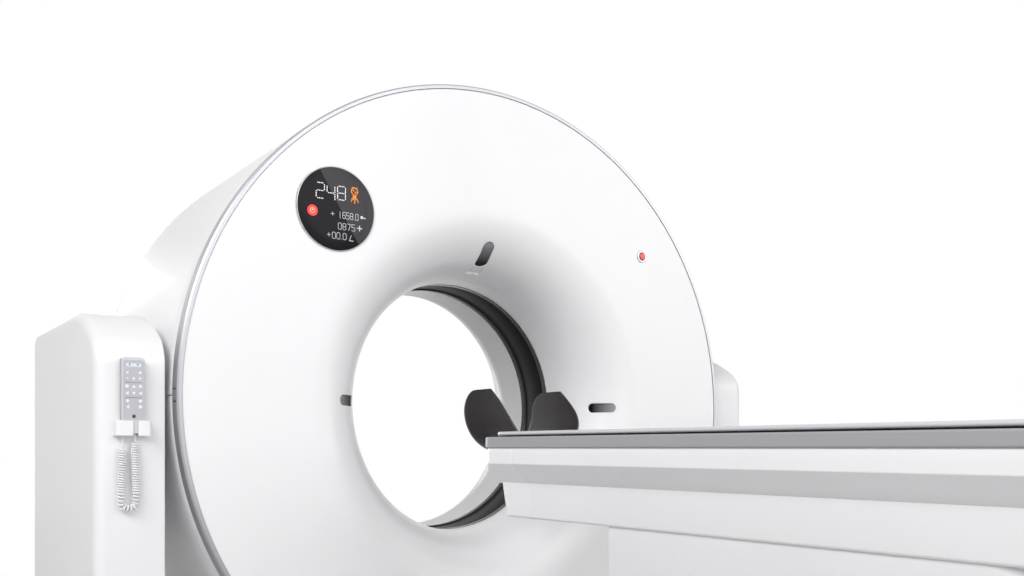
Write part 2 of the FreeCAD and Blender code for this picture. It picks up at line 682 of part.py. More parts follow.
def make_rear_cover():
    """The rear dish: rim, flat face and the cone that opens from the bore, cut to the swing below."""
    shell = body("rear_shell")
    inner_edge = "(rear_edge - cover_wall * tan(22.5))"
    brow_back = chords(f"(rear_reach - {REAR_BROW})", f"({CONE_END} + {REAR_BROW} * cos(rear_turn))",
                       f"{REAR_BROW} - cover_wall", "rear_turn", "90", 2, "")
    bend_back = chords(REAR_START, "(bore_radius + rear_bend)", "rear_bend - cover_wall", "0", "rear_turn", 2, "")
    turn(shell, "YZ", [
        ("window_half + seam_gap", "bore_radius"),
        (REAR_START, "bore_radius", "left", "rear_bend"),
        (CONE_START, CONE_RADIUS),
        (RIM_START, CONE_END, "left", REAR_BROW),
        ("rear_reach", f"{CONE_END} + {REAR_BROW} * cos(rear_turn)"),
        ("rear_reach", "casing_radius - rear_edge"),
        ("rear_reach - rear_edge", "casing_radius"),
        (RIM_START, "casing_radius"),
        (RIM_START, "casing_radius - cover_wall"),
        (f"rear_reach - {inner_edge} - cover_wall", "casing_radius - cover_wall"),
        ("rear_reach - cover_wall", f"casing_radius - {inner_edge} - cover_wall"),
        *reversed(brow_back),
        *reversed(bend_back),
        ("window_half + seam_gap", "bore_radius + cover_wall"),
    ])
    rim = body("rear_rim")
    turn(rim, "YZ", [
        (RIM_START, "race_outside"),
        ("rear_reach", "race_outside"),
        ("rear_reach", "casing_radius - rear_edge"),
        ("rear_reach - rear_edge", "casing_radius"),
        (RIM_START, "casing_radius"),
    ])
    kept = cut("rear_trimmed", shell, swing_waste("rear"))
    keep(fuse("rear_cover", kept, swing_skin("rear", rim)), "rear_cover", "iso_height")


def make_scan_window():
    """The ring that lets the beam through: a thin middle band between two raised lips."""
    ring = body("scan_window")
    outside = "bore_radius + window_wall"
    lip = "bore_radius - edge_bevel / 2"
    band = f"{lip} + window_step"
    turn(ring, "YZ", [
        ("-window_half", outside),
        ("-window_half", lip),
        ("-(window_half - window_lip)", lip),
        ("-(window_half - window_lip - window_step)", band),
        ("window_half - window_lip - window_step", band),
        ("window_half - window_lip", lip),
        ("window_half", lip),
        ("window_half", outside),
    ])
    keep(ring, "scan_window", "iso_height")


def make_face_fittings():
    """Display and emergency stop, each in a bezel that plugs into the face."""
    crown = "-(face_reach + bezel_crown)"
    glass = "(display_radius - 2 * display_band)"
    barrel = "(display_radius - display_band)"
    bezel = body("display_bezel")
    turn(bezel, "YZ", [
        (crown, glass),
        (crown, "display_radius - edge_bevel"),
        ("-face_reach - seam_gap", "display_radius"),
        ("-face_reach - seam_gap", barrel),
        ("-(face_reach - display_depth)", barrel),
        ("-(face_reach - display_depth)", glass),
    ])
    screen = body("display_glass")
    turn(screen, "YZ", [
        ("-face_reach", "0"),
        ("-face_reach", f"{glass} - seam_gap"),
        ("-(face_reach - display_depth)", f"{glass} - seam_gap"),
        ("-(face_reach - display_depth)", "0"),
    ])
    for name, piece in (("display_bezel", bezel), ("display_glass", screen)):
        tie(piece, "Placement.Base.x", "-display_side")
        keep(piece, name, "iso_height + display_rise")

    socket = body("e_stop_bezel")
    hole = "stop_button + run_gap"
    turn(socket, "YZ", [
        (crown, hole),
        (crown, "stop_flange"),
        ("-face_reach - seam_gap", "stop_flange"),
        ("-face_reach - seam_gap", "stop_barrel"),
        ("-(face_reach - stop_depth)", "stop_barrel"),
        ("-(face_reach - stop_depth)", "0"),
        ("-(face_reach - stop_depth + cover_wall)", "0"),
        ("-(face_reach - stop_depth + cover_wall)", hole),
    ])
    button = body("e_stop_button")
    top = "-(face_reach + bezel_crown + button_proud)"
    step = f"({top} + button_thick)"
    stem_end = "-(face_reach - stop_depth + cover_wall + stop_travel + seam_gap)"
    turn(button, "YZ", [
        (top, "0"),
        (top, "stop_button - edge_bevel"),
        (f"{top} + edge_bevel", "stop_button"),
        (step, "stop_button"),
        (step, "stop_stem"),
        (stem_end, "stop_stem"),
        (stem_end, "0"),
    ])
    for name, piece in (("e_stop_bezel", socket), ("e_stop_button", button)):
        tie(piece, "Placement.Base.x", "stop_side")
        keep(piece, name, "iso_height + stop_rise")


def make_tilt_frame():
    """A thick ring plate that carries the main bearing and the covers, with a block for each trunnion."""
    plate = body("frame_plate")
    turn(plate, "YZ", [
        ("frame_front", "race_outside"),
        ("frame_front", "casing_radius - cover_wall - seam_gap"),
        (FRAME_REAR, "casing_radius - cover_wall - seam_gap"),
        (FRAME_REAR, "race_outside"),
    ])
    blocks = []
    for side, (low, high) in (("left", ("-block_outer", "-block_inner")),
                              ("right", ("block_inner", "block_outer"))):
        blocks.append(box(f"block_{side}", (low, high), ("-block_front", "frame_front"),
                          ("-block_half", "block_half")))
    keep(fuse("tilt_frame", plate, *blocks), "tilt_frame", "iso_height")


def make_trunnions():
    """Flanged stub shafts on which the gantry tilts, the right one longer to reach its drive."""
    for side, sign, end in (("left", "-", "trunnion_end"), ("right", "", "drive_end")):
        shaft = body(f"trunnion_{side}")
        turn(shaft, "XZ", [
            (f"{sign}block_outer", "0"),
            (f"{sign}block_outer", "trunnion_flange"),
            (f"{sign}(block_outer + flange_thick)", "trunnion_flange"),
            (f"{sign}(block_outer + flange_thick)", "trunnion_radius"),
            (f"{sign}{end}", "trunnion_radius"),
            (f"{sign}{end}", "0"),
        ])
        keep(shaft, f"trunnion_{side}", "iso_height")


def make_ring(name, front, back, inside, outside):
    """A plain ring about the bore's axis."""
    ring = body(name)
    turn(ring, "YZ", [(front, inside), (front, outside), (back, outside), (back, inside)])
    keep(ring, name, "iso_height")


def make_bearing_and_drive():
    """Both races of the main bearing, and the two rings of its direct drive."""
    make_ring("bearing_outer_race", "frame_front", FRAME_REAR, "race_split + run_gap", "race_outside")
    make_ring("bearing_inner_race", "frame_front", FRAME_REAR, "race_inside", "race_split")
    magnet_outside = "(magnet_inside + magnet_wall)"
    make_ring("drive_magnet_ring", DISC_REAR, f"{DISC_REAR} + magnet_depth", "magnet_inside", magnet_outside)
    make_ring("drive_stator_ring", "frame_front - stator_depth", "frame_front",
              f"{magnet_outside} + run_gap", "stator_outside")


def make_rotor_drum():
    """Disc and hub in one casting: the boxes bolt to the disc, the inner race sits on the hub."""
    drum = body("rotor_drum")
    turn(drum, "YZ", [
        ("disc_front", "disc_inside"),
        ("disc_front", "rotor_radius"),
        (DISC_REAR, "rotor_radius"),
        (DISC_REAR, "race_inside"),
        (FRAME_REAR, "race_inside"),
        (FRAME_REAR, HUB_INSIDE),
        (DISC_REAR, HUB_INSIDE),
        (DISC_REAR, "disc_inside"),
    ])
    keep(drum, "rotor_drum", "iso_height")


def make_slip_ring():
    """A disc on the hub's end with a broad track round its rim, and the brush block that runs on it."""
    ring = body("slip_ring")
    back = f"({FRAME_REAR} + slip_depth)"
    collar = "slip_depth / 5"
    turn(ring, "YZ", [
        (FRAME_REAR, "slip_inside"),
        (back, "slip_inside"),
        (back, "slip_outside"),
        (f"{back} - {collar}", "slip_outside"),
        (f"{back} - {collar}", "slip_outside - slip_groove"),
        (f"{FRAME_REAR} + {collar}", "slip_outside - slip_groove"),
        (f"{FRAME_REAR} + {collar}", "slip_outside"),
        (FRAME_REAR, "slip_outside"),
    ])
    keep(ring, "slip_ring", "iso_height")

    brushes = body("brush_block")
    slab(brushes, "XZ", [rectangle("slip_outside + run_gap", "brush_outer", "-brush_half", "brush_half")],
         FRAME_REAR, back)
    brushes.Placement.Rotation = FreeCAD.Rotation(FreeCAD.Vector(0, 1, 0), size("brush_turn"))
    tie(brushes, "Placement.Rotation.Angle", "brush_turn")
    keep(brushes, "brush_block", "iso_height")


def make_tube_and_collimator():
    """The tube housing over the bore, and the slitted box under it that shapes the beam."""
    tube = body("xray_tube")
    neck = "(tube_radius - 2 * cover_wall)"
    turn(tube, "YZ", [
        ("-tube_front", "0"),
        ("-tube_front", f"{neck} - tube_bevel"),
        ("-tube_front + tube_bevel", neck),
        ("-box_front", neck),
        ("-box_front", "tube_radius"),
        ("disc_front", "tube_radius"),
        ("disc_front", "0"),
    ])
    keep(tube, "xray_tube", "iso_height + tube_centre")

    port = body("collimator")
    slab(port, "XZ", [rectangle("-port_half", "port_half", "port_inner", "tube_centre - tube_radius")],
         "-disc_front", "disc_front")
    pierce(port, "XY", [rectangle("-port_half * 2 / 3", "port_half * 2 / 3", "-port_slit", "port_slit")])
    keep(port, "collimator", "iso_height")


def sector(inside, outside, half_turn):
    """A ring sector that hangs under the axis, half_turn degrees to each side."""
    def corner(radius, sign):
        return f"{sign}{radius} * sin({half_turn})", f"-{radius} * cos({half_turn})"
    return [
        (*corner(outside, "-"), "left", outside),
        ("0", f"-{outside}", "left", outside),
        corner(outside, ""),
        (*corner(inside, ""), "right", inside),
        ("0", f"-{inside}", "right", inside),
        corner(inside, "-"),
    ]


def make_detector():
    """The curved detector housing opposite the tube, and the row of modules on its inner face."""
    housing = body("detector_housing")
    slab(housing, "XZ", [sector("detector_inside", "(detector_inside + detector_wall)", "detector_turn")],
         "-disc_front", "disc_front")
    keep(housing, "detector_housing", "iso_height")

    face = "(detector_inside - module_depth)"
    count = int(size("module_count"))
    row = body("detector_modules")
    backing = f"({face} + module_depth / 3)"
    slab(row, "XZ", [sector(backing, "detector_inside", "detector_turn")], "-module_half", "module_half")
    blocks = []
    for number in range(count):
        middle = f"((2 * {number} + 1 - module_count) * detector_turn / module_count)"
        low = f"({middle} - detector_turn / module_count + module_gap / 2)"
        high = f"({middle} + detector_turn / module_count - module_gap / 2)"
        blocks.append([
            (f"{face} * sin({low})", f"-{face} * cos({low})"),
            (f"{backing} * sin({low})", f"-{backing} * cos({low})"),
            (f"{backing} * sin({high})", f"-{backing} * cos({high})"),
            (f"{face} * sin({high})", f"-{face} * cos({high})"),
        ])
    slab(row, "XZ", blocks, "-module_half", "module_half")
    keep(row, "detector_modules", "iso_height")


def make_rotor_boxes():
    """The generator, the inverter and the heat exchanger that ride on the rotor's disc."""
    plan = (("high_voltage_generator", "box_half", 180), ("inverter_box", "inverter_half", 0))
    for name, half, angle in plan:
        block = body(name)
        slab(block, "XZ", [rectangle("box_inner", "box_outer", f"-{half}", half)], "-box_front", "disc_front")
        block.Placement.Rotation = FreeCAD.Rotation(FreeCAD.Vector(0, 1, 0), angle)
        keep(block, name, "iso_height")

    cooler = body("heat_exchanger")
    outline = [("box_inner", "-cooler_half"), ("box_outer", "-cooler_half"),
               ("box_outer", "cooler_half"), ("box_inner", "cooler_half")]
    slab(cooler, "XZ", [outline], "-box_front", "disc_front")
    fins = []
    for number in range(6):
        low = f"(-box_front + (box_front + disc_front) * {2 * number + 1} / 14)"
        high = f"(-box_front + (box_front + disc_front) * {2 * number + 2} / 14)"
        fins.append([(low, "cooler_half * 2 / 3"), (high, "cooler_half * 2 / 3"),
                     (high, "cooler_half * 2"), (low, "cooler_half * 2")])
    pierce(cooler, "YZ", fins)
    cooler.Placement.Rotation = FreeCAD.Rotation(FreeCAD.Vector(0, 1, 0), -size("cooler_turn"))
    tie(cooler, "Placement.Rotation.Angle", "cooler_turn")
    keep(cooler, "heat_exchanger", "iso_height")


def pod_outline(depth, bottom):
    """Side view of a stand cover: an upright front, a two-bend brow, a flat top and a rounded tail."""
    brow = f"(brow_bend - {depth})"
    crown = f"(crown_bend - {depth})"
    brow_height = "(pod_top - crown_bend * (1 - sin(brow_turn)) - brow_bend * sin(brow_turn))"
    join = f"(-pod_front + {depth} + {brow} * (1 - cos(brow_turn)))"
    return [
        (f"-(pod_front - {depth})", bottom),
        (f"-(pod_front - {depth})", brow_height, "right", brow),
        (join, f"{brow_height} + {brow} * sin(brow_turn)", "right", crown),
        (f"{join} + {crown} * cos(brow_turn)", f"pod_top - {depth}"),
        ("pod_rear - tail_bend", f"pod_top - {depth}", "right", f"tail_bend - {depth}"),
        (f"pod_rear - {depth}", "pod_top - tail_bend"),
        (f"pod_rear - {depth}", bottom),
    ]


def pod_block(name, side, depth, bottom, radius, kind="Fillet"):
    """A stand cover's outside, or its hollow, with rounded or bevelled side edges."""
    low, high = f"pod_inner + {depth}", f"pod_outer - {depth}"
    if side == "left":
        low, high = f"-({high})", f"-({low})"
    block = body(name)
    slab(block, "YZ", [pod_outline(depth, bottom)], low, high)
    planes, floor = (size(low), size(high)), size(bottom)

    def along_the_side(edge):
        reach = edge.BoundBox
        flat = reach.XLength < 0.01 and any(abs(reach.XMin - plane) < 0.01 for plane in planes)
        return flat and reach.ZMax > floor + 1

    rounded(block, radius, along_the_side, kind)
    return block


def make_pod(side):
    """A moulded stand cover on a foot flange, with a hole for the trunnion in its inner wall."""
    shell = pod_block(f"pod_{side}_outside", side, "0", "plate_thick", "pod_edge")
    hollow = pod_block(f"pod_{side}_hollow", side, "pod_wall", "plate_thick + pod_wall",
                       "(pod_edge - pod_wall) * 2 / 3", "Chamfer")
    across = ("pod_inner + pod_foot - pod_wall", "pod_outer - pod_foot")
    hole = ("pod_inner - pod_wall", "pod_inner + 2 * pod_wall")
    if side == "left":
        across, hole = (tuple(f"-({end})" for end in reversed(pair)) for pair in (across, hole))
    well = box(f"pod_{side}_well", across, ("-(pod_front - pod_foot)", "pod_rear - pod_foot"),
               ("0", "plate_thick + 2 * pod_wall"))
    opening = rod(f"pod_{side}_opening", "X", "trunnion_hole", *hole, centre=("0", "iso_height"))
    keep(cut(f"pod_cover_{side}", shell, hollow, well, opening), f"pod_cover_{side}")


def make_floor_plate():
    """The steel plate both stands are bolted to, open in the middle, with its floor anchors."""
    plate = body("gantry_base")
    edge = "(pod_outer - plate_inset)"
    outline = rectangle(f"-{edge}", edge, "-(pod_front - plate_inset)", "pod_rear - plate_inset")
    well = rectangle("-well_half", "well_half", "-well_front", "well_rear")
    anchors = [(x, y, "anchor_radius") for x in ("-anchor_side", "anchor_side")
               for y in ("-anchor_reach", "anchor_reach")]
    slab(plate, "XY", [outline, well], "0", "plate_thick", anchors)
    keep(plate, "gantry_base")


def make_stand(side):
    """A welded stand: a web that narrows to a round head, a foot plate and two ribs."""
    sign = "-" if side == "left" else ""

    def span(low, high):
        return (f"-({high})", f"-({low})") if sign else (low, high)

    foot_top = "plate_thick + foot_thick"
    stand = body(f"stand_{side}")
    web = [
        ("-web_front", "plate_thick"),
        ("-web_front", "web_toe"),
        ("-web_head", "iso_height", "right", "web_head"),
        ("0", "iso_height + web_head", "right", "web_head"),
        ("web_head", "iso_height"),
        ("web_rear", "web_toe"),
        ("web_rear", "plate_thick"),
    ]
    holes = [("0", "iso_height", "bush_radius"), ("window_back", "window_height", "web_window")]
    slab(stand, "YZ", [web], *span("web_inner", "web_inner + web_thick"), holes)
    slab(stand, "XY", [rectangle(*span("foot_inner", "foot_outer"), "-web_front", "web_rear")],
         "plate_thick", foot_top)
    outer = "web_inner + web_thick"
    for number, middle in enumerate(("-web_head", "web_rear / 2"), 1):
        rib = [
            (f"{sign}({outer})", foot_top),
            (f"{sign}(foot_outer)", foot_top),
            (f"{sign}({outer})", "rib_rise"),
        ]
        slab(stand, "XZ", [rib], f"{middle} - rib_thick / 2", f"{middle} + rib_thick / 2")
    keep(stand, f"stand_{side}")


def make_trunnion_bearing(side):
    """A flanged bearing housing pressed into the web."""
    sign = "-" if side == "left" else ""
    bush = body(f"trunnion_bearing_{side}")
    outer = "(web_inner + web_thick)"
    hole = "trunnion_radius + run_gap"
    turn(bush, "XZ", [
        (f"{sign}web_inner", hole),
        (f"{sign}web_inner", "bush_radius"),
        (f"{sign}{outer}", "bush_radius"),
        (f"{sign}{outer}", "bush_flange"),
        (f"{sign}({outer} + flange_thick)", "bush_flange"),
        (f"{sign}({outer} + flange_thick)", hole),
    ])
    keep(bush, f"trunnion_bearing_{side}", "iso_height")


def make_tilt_drive():
    """A closed gear unit round the right trunnion's end, with its motor hanging below."""
    housing = body("tilt_housing")
    inner = "(web_inner + web_thick + flange_thick)"
    turn(housing, "XZ", [
        (inner, "trunnion_radius + run_gap"),
        (inner, "gear_radius"),
        ("gear_outer - 2 * edge_bevel", "gear_radius"),
        ("gear_outer", "gear_radius - 2 * edge_bevel"),
        ("gear_outer", "0"),
        ("drive_end + run_gap", "0"),
        ("drive_end + run_gap", "trunnion_radius + run_gap"),
    ])
    motor = rod("tilt_motor", "Z", "motor_radius", "-motor_drop", "-(gear_radius - edge_bevel)",
                (f"{inner} + motor_gap + motor_radius", "0"))
    keep(fuse("tilt_drive", housing, motor), "tilt_drive", "iso_height")


HANDSET_LEFT = "-(handset_side + handset_width / 2)"
HANDSET_RIGHT = "-(handset_side - handset_width / 2)"
HANDSET_BACK = "-(pod_front + holder_back)"
HANDSET_FRONT = "-(pod_front + holder_back + handset_thick)"


def round_plate(low, high, bottom, top, radius):
    """A rectangle with round corners, counterclockwise."""
    return [
        (f"{low} + {radius}", bottom),
        (f"{high} - {radius}", bottom, "left", radius),
        (high, f"{bottom} + {radius}"),
        (high, f"{top} - {radius}", "left", radius),
        (f"{high} - {radius}", top),
        (f"{low} + {radius}", top, "left", radius),
        (low, f"{top} - {radius}"),
        (low, f"{bottom} + {radius}", "left", radius),
    ]


def make_handset():
    """The hand control and its keypad, standing in the holder on the left stand's cover."""
    case = body("handset")
    outline = round_plate(HANDSET_LEFT, HANDSET_RIGHT, "handset_bottom", "handset_top", "handset_corner")
    slab(case, "XZ", [outline], HANDSET_FRONT, HANDSET_BACK)
    front = size(HANDSET_FRONT)
    rounded(case, "handset_edge", lambda edge: abs(edge.BoundBox.YMax - front) < 0.01)
    keep(case, "handset")

    pad = body("handset_keypad")
    low, high = "-(handset_side + pad_width / 2)", "-(handset_side - pad_width / 2)"
    front = f"({HANDSET_FRONT} - pad_thick)"
    slab(pad, "XZ", [round_plate(low, high, "pad_bottom", "pad_top", "handset_corner / 2")],
         front, HANDSET_FRONT)
    rows = ((122, (-1, 1)), (109, (-1, 0, 1)), (90, (-1, 0, 1)), (75, (-1, 0, 1)), (57, (-1, 1)), (45, (-1, 1)))
    keys = []
    for rise, columns in rows:
        middle = f"(pad_bottom + (pad_top - pad_bottom) * {rise} / 150)"
        for column in columns:
            across = f"(-handset_side + {column} * key_pitch)"
            keys.append(rectangle(f"{across} - key_side / 2", f"{across} + key_side / 2",
                                  f"{middle} - key_side / 2", f"{middle} + key_side / 2"))
    slab(pad, "XZ", keys, f"{front} - key_rise", front)
    keep(pad, "handset_keypad")


def make_handset_holder():
    """A moulded cup for the handset's foot, open in front for the cord."""
    left, right = "-(handset_side + holder_width / 2)", "-(handset_side - holder_width / 2)"
    front = f"({HANDSET_FRONT} - run_gap - holder_front)"
    holder = body("handset_holder")
    outline = [
        (left, "-pod_front"),
        (left, f"{front} + holder_corner", "left", "holder_corner"),
        (f"{left} + holder_corner", front),
        (f"{right} - holder_corner", front, "left", "holder_corner"),
        (right, f"{front} + holder_corner"),
        (right, "-pod_front"),
    ]
    slab(holder, "XY", [outline], "holder_bottom", "holder_top")
    cup = box("holder_cup", (f"{HANDSET_LEFT} - run_gap", f"{HANDSET_RIGHT} + run_gap"),
              (f"{HANDSET_FRONT} - run_gap", f"{HANDSET_BACK} + run_gap"),
              ("handset_bottom - run_gap", "holder_top + holder_back"))
    notch = box("holder_notch", ("-cord_right - notch_half", "-cord_right + notch_half"),
                (f"{front} - holder_front", f"{HANDSET_BACK} + run_gap"),
                ("holder_bottom - holder_back", "holder_top + holder_back"))
    keep(cut("handset_holder", holder, cup, notch), "handset_holder")


# The curly cord hangs in a U from the holder (left) and from the handset (right). The U's middle line
# is two straight strands tangent to a bend, and the curls wind round it, wider apart in the bend.
CORD_TAIL = 29  # plain cord under the holder before the first curl
CORD_NECK = 20  # plain cord under the handset after the last curl
CORD_BEND = 17.5  # radius of the U's bend
CORD_LOW = 768  # height of the bend's centre
STRAND_PITCH = 5.8  # spacing of the curls on the strands
BEND_PITCH = 8.6  # and in the bend
PITCH_EASE = 14  # length over which one spacing passes into the other
CURL_STEP = 0.25  # a quarter turn to each piece of the path


class HangingLine:
    """The U's middle line, by distance along it."""

    def __init__(self, left, right):
        self.tops = left, right
        self.centre = FreeCAD.Vector((left.x + right.x) / 2, left.y, CORD_LOW)
        self.lengths, angles = [], []
        for top, side in ((left, 1), (right, -1)):
            gap = top - self.centre
            angles.append(math.atan2(gap.z, gap.x) + side * math.acos(CORD_BEND / gap.Length))
            self.lengths.append(math.sqrt(gap.Length**2 - CORD_BEND**2))
        self.first = angles[0]
        self.bend = (angles[1] + 2 * math.pi - angles[0]) * CORD_BEND
        self.length = sum(self.lengths) + self.bend

    def round_bend(self, distance):
        angle = self.first + distance / CORD_BEND
        out = FreeCAD.Vector(math.cos(angle), 0, math.sin(angle))
        return self.centre + out * CORD_BEND, FreeCAD.Vector(-out.z, 0, out.x)

    def at(self, distance):
        into_bend = distance - self.lengths[0]
        spot, way = self.round_bend(min(max(into_bend, 0), self.bend))
        if into_bend < 0:
            spot = spot + way * into_bend
        elif into_bend > self.bend:
            spot = spot + way * (into_bend - self.bend)
        return spot, way

    def pitch(self, distance):
        outside = max(self.lengths[0] - distance, distance - self.lengths[0] - self.bend, 0)
        share = (1 + math.cos(math.pi * min(1, outside / PITCH_EASE))) / 2
        return STRAND_PITCH + (BEND_PITCH - STRAND_PITCH) * share


class Curls:
    """The cord's own centre line, by turns round the middle line."""

    def __init__(self, line, reach, steps=4000):
        self.line, self.reach = line, reach
        self.spacing = line.length / steps
        turns = [0]
        for number in range(steps):
            turns.append(turns[-1] + self.spacing / line.pitch((number + 0.5) * self.spacing))
        self.total = round(turns[-1] / CURL_STEP) * CURL_STEP
        self.turns = [turn * self.total / turns[-1] for turn in turns]

    def at(self, turn):
        index = min(max(bisect.bisect(self.turns, turn), 1), len(self.turns) - 1)
        low, high = self.turns[index - 1], self.turns[index]
        distance = (index - 1 + (turn - low) / (high - low)) * self.spacing
        spot, way = self.line.at(distance)
        across = FreeCAD.Vector(0, 1, 0)
        angle = 2 * math.pi * turn
        return spot + (way.cross(across) * math.cos(angle) + across * math.sin(angle)) * self.reach

    def way(self, turn, small=0.01):
        return (self.at(min(turn + small, self.total)) - self.at(max(turn - small, 0))).normalize()


def biarc(start, leave, end, arrive):
    """Two arcs that join two points and keep both directions."""
    gap = end - start
    both = leave + arrive
    a = 2 * (1 - leave.dot(arrive))
    b = gap.dot(both)
    reach = (-b + math.sqrt(b * b + a * gap.dot(gap))) / a if a > 1e-9 else gap.dot(gap) / (4 * gap.dot(leave))
    knee = (start + leave * reach + end - arrive * reach) * 0.5
    edges = []
    for near, way, far in ((start, leave, knee), (knee, None, end)):
        chord = far - near
        if way is None:
            way = chord * (2 * chord.dot(arrive) / chord.dot(chord)) - arrive
        across = chord - way * chord.dot(way)
        if across.Length < 1e-6:
            edges.append(Part.LineSegment(near, far).toShape())
            continue
        radius = chord.dot(chord) / (2 * across.Length)
        centre = near + across.normalize() * radius
        out = (near + chord * 0.5 - centre).normalize()
        edges.append(Part.Arc(near, centre + out * radius, far).toShape())
    return edges


def least_gap(edges, width):
    """Smallest distance between two places on the cord that aren't next to each other, less its width."""
    spots = [spot for edge in edges for spot in edge.discretize(max(2, int(edge.Length / 0.6)))[1:]]
    lengths = [0]
    for near, far in zip(spots, spots[1:]):
        lengths.append(lengths[-1] + (far - near).Length)
    least = math.inf
    for index in range(0, len(spots), 2):
        start = bisect.bisect(lengths, lengths[index] + 3 * width)
        for other in spots[start:start + 200]:
            least = min(least, (other - spots[index]).Length)
    return least - width


def make_handset_cord():
    """The curly cord: one unbroken tube with straight ends, four-sided to keep its faces few."""
    width = size("cord_width")
    depth = -size("cord_plane")
    start = FreeCAD.Vector(-size("cord_left"), depth, size("holder_bottom"))
    end = FreeCAD.Vector(-size("cord_right"), depth, size("handset_bottom"))
    down = FreeCAD.Vector(0, 0, -1)
    curls = Curls(HangingLine(start + down * CORD_TAIL, end + down * CORD_NECK),
                  (size("coil_width") - width) / 2)
    marks = [number * CURL_STEP for number in range(round(curls.total / CURL_STEP) + 1)]
    lead, tail = start + down * width, end + down * width
    spots = [lead, *(curls.at(mark) for mark in marks), tail]
    ways = [down, *(curls.way(mark) for mark in marks), down * -1]
    edges = [Part.LineSegment(start, lead).toShape()]
    for near, leave, far, arrive in zip(spots, ways, spots[1:], ways[1:]):
        edges += biarc(near, leave, far, arrive)
    edges.append(Part.LineSegment(tail, end).toShape())
    path = Part.Wire(edges)
    corners = [start + FreeCAD.Vector(math.cos(angle), math.sin(angle), 0) * (width / 2)
               for angle in (math.pi / 4 * (2 * number + 1) for number in range(4))]
    tube = path.makePipeShell([Part.makePolygon([*corners, corners[0]])], True, False)
    cord = doc.addObject("Part::Feature", "handset_cord")
    cord.Shape = tube
    print(f"cord: {curls.total} curls, {path.Length:.0f} mm long, least gap {least_gap(edges, width):.2f} mm, "
          f"volume over section times length {tube.Volume / (width**2 / 2 * path.Length):.3f}, least radius "
          f"{min(edge.Curve.Radius for edge in edges if hasattr(edge.Curve, 'Radius')):.1f} mm")
    keep(cord, "handset_cord")


def plan_outline(half, front, rear, corner, tail):
    """Plan view of a long table piece: round front corners, smaller rear ones."""
    return [
        (f"-{half}", f"-({rear} - {tail})", "left", tail),
        (f"-({half} - {tail})", f"-{rear}"),
        (f"{half} - {tail}", f"-{rear}", "left", tail),
        (half, f"-({rear} - {tail})"),
        (half, f"-({front} + {corner})", "left", corner),
        (f"{half} - {corner}", f"-{front}"),
        (f"-({half} - {corner})", f"-{front}", "left", corner),
        (f"-{half}", f"-({front} + {corner})"),
    ]


def long_piece(name, section, half, front, rear, corner, tail, bottom, top):
    """A section drawn across the table, run along it and trimmed to a plan outline."""
    bar = body(name + "_bar")
    slab(bar, "XZ", [section], f"-{rear}", f"-{front}")
    plan = body(name + "_plan")
    slab(plan, "XY", [plan_outline(half, front, rear, corner, tail)], bottom, top)
    return common(name, bar, plan)


def make_deck():
    """The table top's frame: side rails with a shallow trough between them, slotted for the carriage."""
    brim = f"sqrt({TROUGH_RADIUS} ^ 2 - ({DISH_CENTRE} - deck_top) ^ 2)"
    root = f"sqrt({TROUGH_UNDER} ^ 2 - ({DISH_CENTRE} - deck_bottom) ^ 2)"
    section = [
        ("deck_half", "deck_bottom"),
        ("deck_half", "deck_top"),
        (brim, "deck_top", "right", TROUGH_RADIUS),
        ("0", f"{DISH_CENTRE} - {TROUGH_RADIUS}", "right", TROUGH_RADIUS),
        (f"-{brim}", "deck_top"),
        ("-deck_half", "deck_top"),
        ("-deck_half", "deck_bottom"),
        (f"-{root}", "deck_bottom", "left", TROUGH_UNDER),
        ("0", f"{DISH_CENTRE} - {TROUGH_UNDER}", "left", TROUGH_UNDER),
        (root, "deck_bottom"),
    ]
    deck = long_piece("table_deck", section, "deck_half", "deck_front", "table_rear", "deck_corner",
                      "rear_corner", "beam_top", "cradle_rim")
    gate = box("deck_gate", ("-gate_half", "gate_half"),
               ("-(truck_rear + truck_length / 4)", "-(truck_rear - truck_length - stroke_length - neck_half)"),
               ("beam_top", "cradle_rim"))
    keep(cut("table_deck", deck, gate), "table_deck")


def make_cradle():
    """The patient support: a dished sandwich panel with a flat rim and a slot in its front end."""
    inner = f"({DISH_RADIUS} - cradle_thick)"
    rim_inner = f"sqrt({inner} ^ 2 - ({DISH_CENTRE} - cradle_rim) ^ 2)"
    under = "(cradle_rim - rim_thick)"
    section = [
        ("cradle_half", under),
        ("cradle_half", "cradle_rim"),
        (rim_inner, "cradle_rim", "right", inner),
        ("0", f"{DISH_CENTRE} - {inner}", "right", inner),
        (f"-{rim_inner}", "cradle_rim"),
        ("-cradle_half", "cradle_rim"),
        ("-cradle_half", under),
        ("-cradle_seat", under, "left", DISH_RADIUS),
        ("0", f"{DISH_CENTRE} - {DISH_RADIUS}", "left", DISH_RADIUS),
        ("cradle_seat", under),
    ]
    panel = long_piece("cradle", section, "cradle_half", "cradle_front", "cradle_rear", "cradle_corner",
                       "rear_corner", "beam_top", "wing_top")
    socket = box("cradle_socket", ("-tongue_half", "tongue_half"),
                 ("-(cradle_front + tongue_depth)", "-(cradle_front - tongue_depth)"),
                 ("tongue_low", "tongue_high"))
    keep(cut("cradle", panel, socket), "cradle")


def holder_section(depth):
    """Front view of the head holder's trough, closed across its top."""
    radius = f"(holder_radius - {depth})"
    return [
        (f"-{radius}", "wing_top + holder_wall"),
        (f"-{radius}", HOLDER_CENTRE, "left", radius),
        ("0", f"{HOLDER_CENTRE} - {radius}", "left", radius),
        (radius, HOLDER_CENTRE),
        (radius, "wing_top + holder_wall"),
    ]


